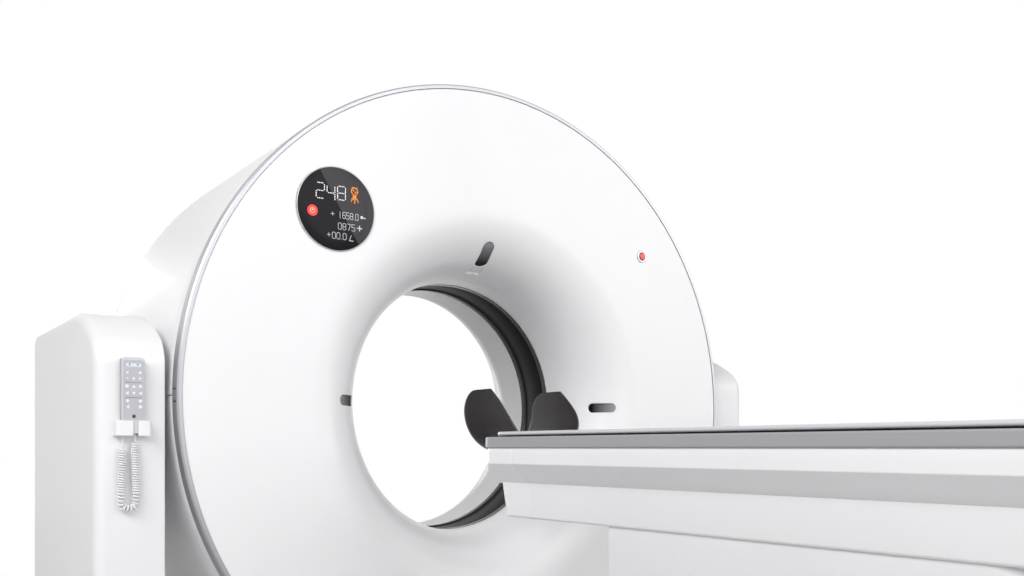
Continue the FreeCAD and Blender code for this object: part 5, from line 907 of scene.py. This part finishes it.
def key(kind, across, up, size, thick=0.45):
    """A raised mark on the keypad: disc, square, or a triangle that points one way."""
    corners = KEY_CORNERS[kind]
    rise, share = np.array([(0.75, 1), (0.7 + thick, 1), (0.85 + thick, 0.85)]).T[:, :, None]
    return surface(together(HANDSET_X + across + size * share * np.cos(corners), HANDSET_FRONT - rise,
                            up + size * share * np.sin(corners)), wrap_columns=True, caps=True)


KEYS = [("disc", -14, 1069, 2.6), ("diamond", 15, 1069, 3.6), ("disc", -14, 1055.5, 2.2),
        ("diamond", 0, 1055.5, 3.4), ("disc", 14.5, 1055.5, 2.4), ("disc", -15, 1037, 3.4), ("up", 0.5, 1036, 4.2),
        ("diamond", 15.5, 1037, 3.6), ("left", -14, 1020.5, 4.4), ("down", 0.5, 1021.5, 4.2),
        ("left", 16, 1020.5, 4.4), ("diamond", -13.5, 1002.5, 3.9), ("disc", 15.5, 1002.5, 3.2),
        ("left", -12.5, 989, 4.4), ("diamond", 15.5, 989, 3.9)]
KEY_SCALE = 1.2
HANDSET_PARTS = {
    "handset_body": (handset_shell, [
        plate(HANDSET_HALF, HANDSET_FRONT, HANDSET_BACK, HANDSET_FOOT, HANDSET_HEAD, 7, 2.0)]),
    "keypad": (keypad_film, [plate(23.5, HANDSET_FRONT - 0.8, HANDSET_FRONT, 958, 1099, 4, 0.3)]),
    "white_keys": (key_white, [key(kind, across, up, size * KEY_SCALE) for kind, across, up, size in KEYS]),
    "black_key": (key_black, [key("square", 0.5, 966.5, 5.0)]),
    "window_marks": (line_grey, [key("down", across, 1088.5, 3.6, 0.7) for across in (-9, 9)]),
    "key_lines": (line_grey, [plate(19, HANDSET_FRONT - 1.0, HANDSET_FRONT - 0.7, up - 0.9, up + 0.9, 0.5, 0.1)
                              for up in (1046, 1010.5)]),
    "handset_window": (window_blue, [plate(17, HANDSET_FRONT - 1.1, HANDSET_FRONT - 0.7, 1083, 1091, 2.5, 0.3)])}
STANDS_FOR = {"handset_body": ["handset"], "keypad": ["handset_keypad"]}
for part_name, (stuff, shapes) in HANDSET_PARTS.items():
    part = piece(part_name, [stuff], *shapes)
    if part_name in STANDS_FOR:
        even_shading(part)
    fasten(part, "base", "handset_grey" if part_name == "handset_body" else "keypad_grey",
           *STANDS_FOR.get(part_name, []))

# --- Hand control's holder ---
# A white moulded cup screwed to the pod. A slot in its front lets the cord out, and a thin floor carries
# the foot of the hand control.
HOLDER_X, HOLDER_HALF, HOLDER_BOTTOM, HOLDER_TOP, HOLDER_FRONT = -1006, 41.5, 921, 956.5, -312.3
NOTCH_X, NOTCH_HALF, NOTCH_BACK, CUP_FLOOR, CUP_GAP = -1001, 6, -292, 925.6, 0.3
holder_plastic = finish("holder_plastic", (0.87, 0.862, 0.876), 0.33, cloud=(20.0, 0.015), coat=0.1)


def soften(thing, width, angle=35):
    """A small radius on each edge sharper than the angle, as a mould or a file leaves it."""
    edge = thing.modifiers.new("edges", "BEVEL")
    edge.width = width / 1000
    edge.segments = 3
    edge.limit_method = "ANGLE"
    edge.angle_limit = math.radians(angle)
    edge.harden_normals = True


def upright(outline, heights, caps=True):
    """A plan outline carried up through these heights."""
    rows = [np.insert(outline, 2, height, axis=1) for height in heights]
    return surface(np.stack(rows), wrap_columns=True, caps=caps)


cup_left, cup_right = HANDSET_X - HANDSET_HALF - CUP_GAP, HANDSET_X + HANDSET_HALF + CUP_GAP
cup_front, cup_back = HANDSET_FRONT - CUP_GAP, HANDSET_BACK + CUP_GAP
notch_left, notch_right = NOTCH_X - NOTCH_HALF, NOTCH_X + NOTCH_HALF
holder_left, holder_right = HOLDER_X - HOLDER_HALF, HOLDER_X + HOLDER_HALF
holder_plan = rounded_outline([
    (holder_left, POD_FRONT), (holder_left, HOLDER_FRONT), (notch_left, HOLDER_FRONT), (notch_left, cup_front),
    (cup_left, cup_front), (cup_left, cup_back), (cup_right, cup_back), (cup_right, cup_front),
    (notch_right, cup_front), (notch_right, HOLDER_FRONT), (holder_right, HOLDER_FRONT),
    (holder_right, POD_FRONT)], [0.01, 8, 2.2, 1, 0.5, 0.5, 0.5, 0.5, 1, 2.2, 8, 0.01])
holder_cup = piece("holder_cup", [holder_plastic], upright(holder_plan, (HOLDER_BOTTOM, HOLDER_TOP)))
soften(holder_cup, 1.0)
fasten(holder_cup, "base", "holder_white", "handset_holder")
floor_plan = rounded_outline([
    (cup_left - 1, cup_front - 1), (notch_left, cup_front - 1), (notch_left, NOTCH_BACK), (notch_right, NOTCH_BACK),
    (notch_right, cup_front - 1), (cup_right + 1, cup_front - 1), (cup_right + 1, cup_back + 1),
    (cup_left - 1, cup_back + 1)], 0.4, 2)
holder_floor = piece("holder_floor", [holder_plastic], upright(floor_plan, (HOLDER_BOTTOM + CUP_GAP, CUP_FLOOR)))
fasten(holder_floor, "base", "holder_white")

# --- Table base, plinth, pedestal and lift column ---
# A fixed steel plinth with a grey kick finish stands on the floor plate. The pedestal's skirt, a bent
# aluminium sheet in light grey, rides down over it, and the lift column works inside.
SKIRT_HALF, SKIRT_FRONT, SKIRT_REAR, SKIRT_WALL = 165, -1027, -2060, 5
SKIRT_LOW, SKIRT_HIGH, SKIRT_REAR_CORNER, SKIRT_FRONT_CORNER = 375, 717, 150, 16
PLINTH_LOW, PLINTH_HIGH, PLINTH_INSET = 20, 415, 8
skirt_coat = finish("skirt_coat", (0.80, 0.79, 0.805), 0.4, cloud=(2.5, 0.015), grain=(320.0, 0.05, 0.00006))
plinth_coat = finish("plinth_coat", (0.30, 0.30, 0.31), 0.5, cloud=(4.0, 0.08), grain=(320.0, 0.08, 0.0002))


def pedestal_plan(inset):
    """Plan view: tight corners towards the gantry, wide ones behind, moved inwards."""
    half = SKIRT_HALF - inset
    return rounded_box(-half, half, SKIRT_REAR + inset, SKIRT_FRONT - inset,
                       np.array([SKIRT_REAR_CORNER] * 2 + [SKIRT_FRONT_CORNER] * 2) - inset, 16)


skirt = piece("skirt_sheet", [skirt_coat], upright(pedestal_plan(0), np.linspace(SKIRT_LOW, SKIRT_HIGH, 5), False))
wall(skirt, SKIRT_WALL)
fasten(skirt, "table", "skirt_grey", "pedestal_skirt")
plinth = piece("plinth_sheet", [plinth_coat],
               upright(pedestal_plan(PLINTH_INSET), np.linspace(PLINTH_LOW, PLINTH_HIGH, 5), False))
wall(plinth, SKIRT_WALL)
fasten(plinth, "base", "plinth_grey", "pedestal_plinth")
dress(plinth_coat, "table_base")
dress(finish("column_steel", (0.50, 0.50, 0.51), 0.3, metal=1.0, cloud=(6.0, 0.05), stretch=(1, 1, 0.1)),
      "lift_column_fixed", "lift_column_middle", "lift_column_top")

# --- Table beam, slides, linear drive and carriage ---
# A welded channel on the column's head carries two ground slide rails, a closed belt drive, and the
# aluminium carriage that pushes the cradle.
dress(stand_coat, "table_frame")
dress(ground_steel, "slide_rail_left", "slide_rail_right")
dress(finish("belt_housing", (0.08, 0.08, 0.085), 0.4, metal=0.3, cloud=(6.0, 0.1), stretch=(6, 1, 1)),
      "linear_drive")
dress(finish("carriage_aluminium", (0.58, 0.58, 0.60), 0.38, metal=1.0, stretch=(1, 8, 1)), "cradle_carriage")

# --- Table covers ---
# White mouldings round the beam: side shells that turn under at 45 degrees, a narrower lower shell, and a
# front cap over both, parted from them by a fine seam.
SHELL_HALF, SHELL_BREAK, SHELL_TOP, SHELL_FRONT = 235, 853, 891.7, -609
BELLY_HALF, BELLY_TOP, BELLY_BOTTOM, BELLY_FOOT, BELLY_EDGE, BELLY_FRONT = 188, 806, 717, 173, 8, -647
CAP_SEAM, SEAM_GAP, TABLE_REAR, SHELL_WALL = -761, 2, -3050, 5
NOSE_UNDER, NOSE_RAKE, NOSE_CORNER = 803, 25, 60
DISH_CENTRE, TROUGH_UNDER, TROUGH_GAP = 1439, 568, 0.6
MOUTH_FRONT_CORNER, MOUTH_REAR_CORNER = SKIRT_FRONT_CORNER - SKIRT_WALL, SKIRT_REAR_CORNER - SKIRT_WALL
table_lacquer = finish("table_lacquer", (0.87, 0.862, 0.876), 0.36, cloud=(1.8, 0.012),
                       grain=(260.0, 0.04, 0.00005), coat=0.12)


def body_half(height):
    """Half the width of the upper body: full above the break, and as much less below as it is lower."""
    slant = (SHELL_HALF - BELLY_HALF) / (SHELL_BREAK - BELLY_TOP)
    return SHELL_HALF - slant * np.maximum(SHELL_BREAK - height, 0)


def under_trough(across, heights):
    """Heights over the break are pressed down so that the wall ends below the deck's trough, an arc about
    the dish's centre: top = centre - sqrt(radius^2 - across^2)."""
    top = np.minimum(DISH_CENTRE - np.sqrt((TROUGH_UNDER + TROUGH_GAP)**2 - across**2), SHELL_TOP)
    share = np.clip((heights - SHELL_BREAK) / (SHELL_TOP - SHELL_BREAK), 0, 1)
    return np.minimum(heights, SHELL_BREAK) + share * (top - SHELL_BREAK)


def make_side_shell():
    """Left side, rear and right side in one sheet: at each height the plan is a U of that half width."""
    heights = np.array([BELLY_TOP, 822, 838, SHELL_BREAK, 872, SHELL_TOP])
    rear = TABLE_REAR + SHELL_WALL
    along = np.linspace(CAP_SEAM - SEAM_GAP, rear, 24)
    path = np.vstack([together(1.0, along), together(np.linspace(1, -1, 21)[1:-1], rear),
                      together(-1.0, along[::-1])])
    across = path[:, 0] * body_half(heights)[:, None]
    points = together(across, path[:, 1], under_trough(across, heights[:, None]))
    return piece("side_shell", [table_lacquer], surface(points))


def belly_section():
    """The lower body's section as an open U, from its left top round the foot to the right top."""
    loop = rounded_outline([(-BELLY_HALF, BELLY_TOP - 0.3), (-BELLY_FOOT, BELLY_BOTTOM), (BELLY_FOOT, BELLY_BOTTOM),
                            (BELLY_HALF, BELLY_TOP - 0.3)], [0.01, BELLY_EDGE, BELLY_EDGE, 0.01], 8)
    count = len(loop) // 4
    return loop[count - 1:3 * count + 1]


def mouth_half(along):
    """Half the width of the opening over the skirt: its corners follow half - r + sqrt(r^2 - reach^2)."""
    half = SKIRT_HALF - SKIRT_WALL
    ahead = np.clip(along - (SKIRT_FRONT - SKIRT_WALL - MOUTH_FRONT_CORNER), 0, MOUTH_FRONT_CORNER)
    behind = np.clip(SKIRT_REAR + SKIRT_WALL + MOUTH_REAR_CORNER - along, 0, MOUTH_REAR_CORNER)
    return (half - MOUTH_FRONT_CORNER + np.sqrt(MOUTH_FRONT_CORNER**2 - ahead**2)
            - MOUTH_REAR_CORNER + np.sqrt(MOUTH_REAR_CORNER**2 - behind**2))


def make_chin():
    """The cap's lower part: the U section carried along the table, closed at its front."""
    section = belly_section()
    sheet = surface(np.stack([np.insert(section, 1, along, axis=1)
                              for along in np.linspace(BELLY_FRONT, CAP_SEAM, 5)]))
    sheet[1].append(list(range(len(section))))
    return piece("cap_chin", [table_lacquer], sheet)


def make_lower_shell():
    """The same section behind the seam, closed at the rear. Its floor is open over the skirt, where the
    plinth comes through when the table is down."""
    section, turn = belly_section(), np.linspace(0, np.pi / 2, 9)
    front, rear = SKIRT_FRONT - SKIRT_WALL, SKIRT_REAR + SKIRT_WALL
    stations = np.unique(np.round(np.concatenate([
        np.linspace(CAP_SEAM - SEAM_GAP, TABLE_REAR + SHELL_WALL, 20),
        front - MOUTH_FRONT_CORNER * (1 - np.sin(turn)), rear + MOUTH_REAR_CORNER * (1 - np.sin(turn))]), 3))[::-1]
    middle = len(section) // 2
    rows = []
    for along in stations:
        half = mouth_half(min(max(along, rear), front))
        row = np.insert(section, middle, [(-half, BELLY_BOTTOM), (half, BELLY_BOTTOM)], axis=0)
        rows.append(np.insert(row, 1, along, axis=1))
    points, faces = surface(np.stack(rows))
    columns = len(section) + 1
    faces = [face for number, face in enumerate(faces) if number % columns != middle
             or stations[number // columns] > front + 0.01 or stations[number // columns + 1] < rear - 0.01]
    faces.append(list(range(len(points) - columns - 1, len(points))))
    return piece("lower_shell", [table_lacquer], (points, faces))


def make_nose():
    """The cap's upper part. At each height the plan's round front corners are cut to the body's half width
    and to the raked front."""
    heights = np.array([NOSE_UNDER, 815, 828, 841, SHELL_BREAK, 866, 880, SHELL_TOP])
    turn = np.linspace(np.pi / 2, 0, 13)
    right = np.vstack([
        together(np.linspace(0, SHELL_HALF - NOSE_CORNER, 8)[:-1], SHELL_FRONT),
        together(SHELL_HALF - NOSE_CORNER * (1 - np.cos(turn)), SHELL_FRONT - NOSE_CORNER * (1 - np.sin(turn))),
        together(SHELL_HALF, np.linspace(SHELL_FRONT - NOSE_CORNER, CAP_SEAM, 6)[1:])])
    path = np.vstack([(right * (-1, 1))[:0:-1], right])
    half = body_half(heights)[:, None]
    lean = (SHELL_BREAK - heights) / (SHELL_BREAK - NOSE_UNDER) * NOSE_RAKE
    nose = (SHELL_FRONT - np.maximum(lean, 0))[:, None]
    across = np.clip(path[:, 0], -half, half)
    points = together(across, np.minimum(path[:, 1], nose), under_trough(across, heights[:, None]))
    sheet = surface(points)
    sheet[1].append(list(range(points.shape[1])))
    return piece("cap_nose", [table_lacquer], sheet)


for moulding, rounding, node in (
        (make_side_shell(), 1.5, ["table_side_shell"]), (make_lower_shell(), 2.5, ["table_lower_shell"]),
        (make_nose(), 2.5, ["table_front_cap"]), (make_chin(), 2.5, [])):
    soften(moulding, rounding, 30)
    wall(moulding, SHELL_WALL)
    fasten(moulding, "table", "table_white", *node)

# --- Table deck ---
# The frame round the cradle: satin anodised aluminium rails with a shallow trough between them, slotted
# along its middle for the carriage's neck.
DECK_HALF, DECK_TOP, DECK_BOTTOM, DECK_FRONT = 240, 919.5, 892, -604
DECK_CORNER, REAR_CORNER, DECK_EDGE = 65, 20, 4
DISH_RADIUS, CRADLE_THICK, TROUGH_INSIDE = 559, 16, 562
GATE_HALF, GATE_FRONT, GATE_REAR = 37, -1070, -2950
rail_aluminium = finish("rail_aluminium", (0.37, 0.365, 0.385), 0.44, metal=0.3, cloud=(3.0, 0.025),
                        grain=(240.0, 0.06, 0.00003), stretch=(6, 0.4, 6))


def plan_stations(half, front, rear, corner, tail):
    """Stations along a table piece and its half width there: the round corners follow half - r (1 - cos)."""
    turn = np.linspace(np.pi / 2, 0, 14)
    back = turn[::-1]
    return np.vstack([together(front - corner * (1 - np.sin(turn)), half - corner * (1 - np.cos(turn))),
                      together(np.linspace(front - corner, rear + tail, 16)[1:-1], half),
                      together(rear + tail * (1 - np.sin(back)), half - tail * (1 - np.cos(back)))])


def inside_plan(across, along, half, front, rear, corner, tail):
    """How far a point lies inside the plan, a rectangle with round corners."""
    radius = np.where(along > (front + rear) / 2, corner, tail)
    side = np.abs(across) - half + radius
    end = np.abs(along - (front + rear) / 2) - (front - rear) / 2 + radius
    return radius - np.hypot(np.maximum(side, 0), np.maximum(end, 0)) - np.minimum(np.maximum(side, end), 0)


def dished(radius, centre, brim_height):
    """A height across the table: an arc about the dish's centre, and flat where that would be higher."""
    return lambda across: np.minimum(centre - np.sqrt(np.maximum(radius**2 - across**2, 0)), brim_height)


def long_sheet(plan, spots, upper, lower, edge, gate=None):
    """Upper and lower faces over the same spots across, scaled to the half width at each station and joined
    all round. Near the outline both fall away by edge - sqrt(edge^2 - (edge - inside)^2). A gate,
    (half, front, rear), is left open through both."""
    half = plan[0]
    stations = plan_stations(*plan)
    if gate:
        stations = np.vstack([stations, [(gate[1], half), (gate[2], half)]])
    stations = stations[np.argsort(-stations[:, 0])]
    rim = half - edge * np.array([0, 0.06, 0.25, 0.6, 1.1])
    spots = np.unique(np.round(np.concatenate([spots, rim, -rim]), 3))
    across = spots / half * stations[:, 1:]
    along = stations[:, :1] + 0 * across
    rows, columns = across.shape
    top, bottom = upper(across), lower(across)
    reach = np.clip(edge - inside_plan(across, along, *plan), 0, edge)
    fall = (edge - np.sqrt(edge**2 - reach**2)) * np.minimum(1, 0.45 * (top - bottom) / edge)
    index = np.arange(2 * rows * columns).reshape(2, rows, columns)
    open_faces = np.zeros((rows - 1, columns - 1), bool)
    if gate:
        between = (stations[:-1, 0] <= gate[1] + 0.01) & (stations[1:, 0] >= gate[2] - 0.01)
        inside = (spots[:-1] >= -gate[0] - 0.01) & (spots[1:] <= gate[0] + 0.01)
        open_faces = between[:, None] & inside[None, :]
    faces = quads_of(index)[:, ~open_faces].reshape(-1, 4).tolist()
    solid = np.pad(~open_faces, 1)
    for step, axis in ((solid[1:, 1:-1] != solid[:-1, 1:-1], 0), (solid[1:-1, 1:] != solid[1:-1, :-1], 1)):
        row, column = np.nonzero(step)
        ends = (row, column), (row + (axis == 1), column + (axis == 0))
        faces += np.stack([index[0][ends[0]], index[0][ends[1]], index[1][ends[1]], index[1][ends[0]]], -1).tolist()
    points = np.stack([together(across, along, top - fall), together(across, along, bottom + fall)])
    return points.reshape(-1, 3), faces


brim = math.sqrt(TROUGH_INSIDE**2 - (DISH_CENTRE - DECK_TOP)**2)
root = math.sqrt(TROUGH_UNDER**2 - (DISH_CENTRE - DECK_BOTTOM)**2)
deck_spots = np.concatenate([np.linspace(-brim, brim, 31), [-root, root, -GATE_HALF, GATE_HALF]])
deck_rails = piece("deck_rails", [rail_aluminium], long_sheet(
    (DECK_HALF, DECK_FRONT, TABLE_REAR, DECK_CORNER, REAR_CORNER), deck_spots,
    dished(TROUGH_INSIDE, DISH_CENTRE, DECK_TOP), dished(TROUGH_UNDER, DISH_CENTRE, DECK_BOTTOM), DECK_EDGE,
    (GATE_HALF, GATE_FRONT, GATE_REAR)))
even_shading(deck_rails)
fasten(deck_rails, "table", "deck_grey", "table_deck")

# --- Cradle ---
# The patient support: a dished carbon and foam sandwich, dark inside, with a bright moulded rim. It lies
# in the deck's trough, and the carriage slides it into the bore.
CRADLE_HALF, CRADLE_RIM, RIM_THICK, CRADLE_SEAT, CRADLE_EDGE = 229, 932.5, 9.5, 215, 4.2
CRADLE_FRONT, CRADLE_REAR, CRADLE_CORNER = -640, -3040, 70
carbon_gloss = finish("carbon_gloss", (0.030, 0.027, 0.030), 0.24, cloud=(5.0, 0.15), grain=(180.0, 0.05, 0.00003),
                      coat=0.3)
rim_moulding = finish("rim_moulding", (0.66, 0.655, 0.68), 0.34, metal=0.3, cloud=(3.0, 0.02))
seat_edge = math.sqrt((DISH_RADIUS - CRADLE_THICK)**2 - (DISH_CENTRE - CRADLE_RIM)**2)
cradle_spots = np.concatenate([np.linspace(-seat_edge, seat_edge, 33), [-CRADLE_SEAT, CRADLE_SEAT]])
cradle_panel = piece("cradle_panel", [rim_moulding, carbon_gloss], long_sheet(
    (CRADLE_HALF, CRADLE_FRONT, CRADLE_REAR, CRADLE_CORNER, REAR_CORNER), cradle_spots,
    dished(DISH_RADIUS - CRADLE_THICK, DISH_CENTRE, CRADLE_RIM),
    dished(DISH_RADIUS, DISH_CENTRE, CRADLE_RIM - RIM_THICK), CRADLE_EDGE))
centres = np.zeros(len(cradle_panel.data.polygons) * 3)
cradle_panel.data.polygons.foreach_get("center", centres)
centres = centres.reshape(-1, 3) * 1000
in_dish = ((np.abs(centres[:, 0]) < seat_edge) & (centres[:, 2] < CRADLE_RIM - 0.2)
           & (centres[:, 1] < CRADLE_FRONT - 0.1))
cradle_panel.data.polygons.foreach_set("material_index", in_dish.astype(np.int32))
even_shading(cradle_panel)
fasten(cradle_panel, "tabletop", "cradle_dark", "cradle")

# --- Head holder ---
# A carbon trough with a wing on each side of the head, pushed into the cradle's front end. It is laid up
# in one piece 5 mm thick with rounded edges.
TROUGH_RADIUS, TROUGH_CENTRE, TROUGH_WALL = 121, 1000.7, 5
WING_FRONT, WING_TOP, WING_SHOULDER = -354, 1053, 60
WING_REAR, WING_ROOT, WING_SWEEP, SWEEP_POWER = -590, 925, 0.0166, 1.8
SEAT_FRONT, SEAT_TOP = -639.7, 906
wing_gloss = finish("wing_gloss", (0.030, 0.026, 0.028), 0.22, cloud=(4.0, 0.15), grain=(160.0, 0.04, 0.00003),
                    shine=0.4)


def wing_front(height):
    """The front edge is upright, and its shoulder a quarter circle that ends level with the wing's top."""
    rise = np.clip(height - (WING_TOP - WING_SHOULDER), 0, WING_SHOULDER)
    return WING_FRONT - WING_SHOULDER + np.sqrt(WING_SHOULDER**2 - rise**2)


def wing_rear(height):
    """The rear edge sweeps forward as it rises, by sweep * rise to the power 1.8. Low down it runs back
    to the cradle in a half cosine."""
    rise = np.maximum(height - WING_ROOT, 0)
    share = np.clip((WING_ROOT - height) / (WING_ROOT - SEAT_TOP), 0, 1)
    return WING_REAR + WING_SWEEP * rise**SWEEP_POWER + (SEAT_FRONT - WING_REAR) * (1 - np.cos(np.pi * share)) / 2


def make_head_holder():
    """The half section is an upright wall over a quarter circle, and each point of it reaches from the rear
    edge to the front edge at its height."""
    turn = np.linspace(0, np.pi / 2, 34)
    half = np.vstack([
        together(TROUGH_RADIUS, WING_TOP - (WING_TOP - TROUGH_CENTRE) * np.linspace(0, 1, 15)[:-1]**1.6),
        together(TROUGH_RADIUS * np.cos(turn), TROUGH_CENTRE - TROUGH_RADIUS * np.sin(turn))])
    section = np.vstack([half * (-1, 1), half[-2::-1]])
    across, height = section[:, :1], section[:, 1:]
    rear = wing_rear(height)
    depth = rear + (wing_front(height) - rear) * np.linspace(0, 1, 24)
    return piece("head_wings", [wing_gloss], surface(together(across, depth, height)))


head_wings = make_head_holder()
wall(head_wings, TROUGH_WALL)
soften(head_wings, 1.2, 50)
fasten(head_wings, "tabletop", "holder_carbon", "head_holder")

# --- Floor duct ---
# A low steel cover over the cables between gantry and table, screwed to the floor. It is folded from sheet
# under a grey coat, and its solid is shown as it is.
dress(finish("duct_coat", (0.42, 0.42, 0.43), 0.48, cloud=(5.0, 0.07), grain=(300.0, 0.08, 0.0002)), "floor_duct")

# --- Floor, light and background ---
# A studio sweep: the pale floor keeps the shadow near the scanner and runs into white. Large softboxes
# stand in front, one low and one high, to the right, high to the left, beside the table and behind. Sizes
# here are in metres again.
floor_mesh = bpy.data.meshes.new("studio_floor")
floor_mesh.from_pydata([(-30, -30, 0), (30, -30, 0), (30, 30, 0), (-30, 30, 0)], [], [(0, 1, 2, 3)])
studio_floor = placed("studio_floor", floor_mesh)
floor_paint = finish("floor_paint", (0.56, 0.56, 0.56), 0.7, cloud=(0.8, 0.01), grain=(60.0, 0.05, 0.0001))
WHITE_NEAR, WHITE_FAR, WHITE_SHARE = 1.8, 4.8, 0.35
floor_tree = floor_paint.node_tree
floor_ray = add(floor_tree, "LightPath").outputs
floor_far = add(floor_tree, "VectorMath", {0: add(floor_tree, "TexCoord").outputs["Object"]}, operation="LENGTH")
fade = add(floor_tree, "MapRange", {"Value": floor_far.outputs["Value"]},
           {"From Min": WHITE_NEAR, "From Max": WHITE_FAR, "To Min": WHITE_SHARE})
seen = add(floor_tree, "Math", {0: floor_ray["Is Camera Ray"], 1: floor_ray["Is Glossy Ray"]}, operation="MAXIMUM")
seen_fade = add(floor_tree, "Math", {0: seen.outputs["Value"], 1: fade.outputs["Result"]}, operation="MULTIPLY")
floor_mix = add(floor_tree, "MixShader", {
    "Fac": seen_fade.outputs["Value"], 1: floor_tree.nodes["Principled BSDF"].outputs["BSDF"],
    2: add(floor_tree, "Emission").outputs["Emission"]})
floor_tree.links.new(floor_mix.outputs["Shader"], floor_tree.nodes["Material Output"].inputs["Surface"])
floor_mesh.materials.append(floor_paint)

studio = bpy.data.worlds.new("studio")
bpy.context.scene.world = studio
studio.use_nodes = True
studio_tree = studio.node_tree
room = studio_tree.nodes["Background"]
room.inputs["Color"].default_value = (1, 1, 1, 1)
room.inputs["Strength"].default_value = 0.10
ray = add(studio_tree, "LightPath").outputs
sharp = add(studio_tree, "Math", {0: ray["Is Camera Ray"], 1: ray["Is Glossy Ray"]}, operation="MAXIMUM")
clear = add(studio_tree, "Math", {0: sharp.outputs["Value"], 1: ray["Is Transmission Ray"]}, operation="MAXIMUM")
backdrop = add(studio_tree, "Background", settings={"Color": (1, 1, 1, 1)})
room_mix = add(studio_tree, "MixShader", {"Fac": clear.outputs["Value"], 1: room.outputs["Background"],
                                          2: backdrop.outputs["Background"]})
studio_tree.links.new(room_mix.outputs["Shader"], studio_tree.nodes["World Output"].inputs["Surface"])


def soft_lamp(name, place, aim, size, power):
    """A square softbox at a place, turned so that it faces its aim."""
    light = bpy.data.lights.new(name, "AREA")
    light.size = size
    light.energy = power
    box = placed(name, light)
    box.location = place
    away = np.array(place, float) - np.array(aim, float)
    box.rotation_euler = (math.atan2(math.hypot(away[0], away[1]), away[2]), 0,
                          math.atan2(away[1], away[0]) + math.pi / 2)


GANTRY = (0, -0.6, 1.0)
soft_lamp("front_softbox", (0.6, -6.5, 2.4), GANTRY, 4.0, 38)
soft_lamp("high_softbox", (0.8, -5.8, 4.2), GANTRY, 4.0, 107)
soft_lamp("right_softbox", (4.2, -4.2, 2.6), GANTRY, 3.0, 72)
soft_lamp("left_softbox", (-4.8, -2.6, 4.6), GANTRY, 3.0, 204)
soft_lamp("table_softbox", (-2.8, -3.4, 2.6), (-0.2, -2.0, 0.8), 1.6, 40)
soft_lamp("rear_softbox", (-0.2, 4.8, 1.6), (0, 0.5, 1.0), 2.4, 45)
bpy.context.scene.view_settings.view_transform = "Standard"
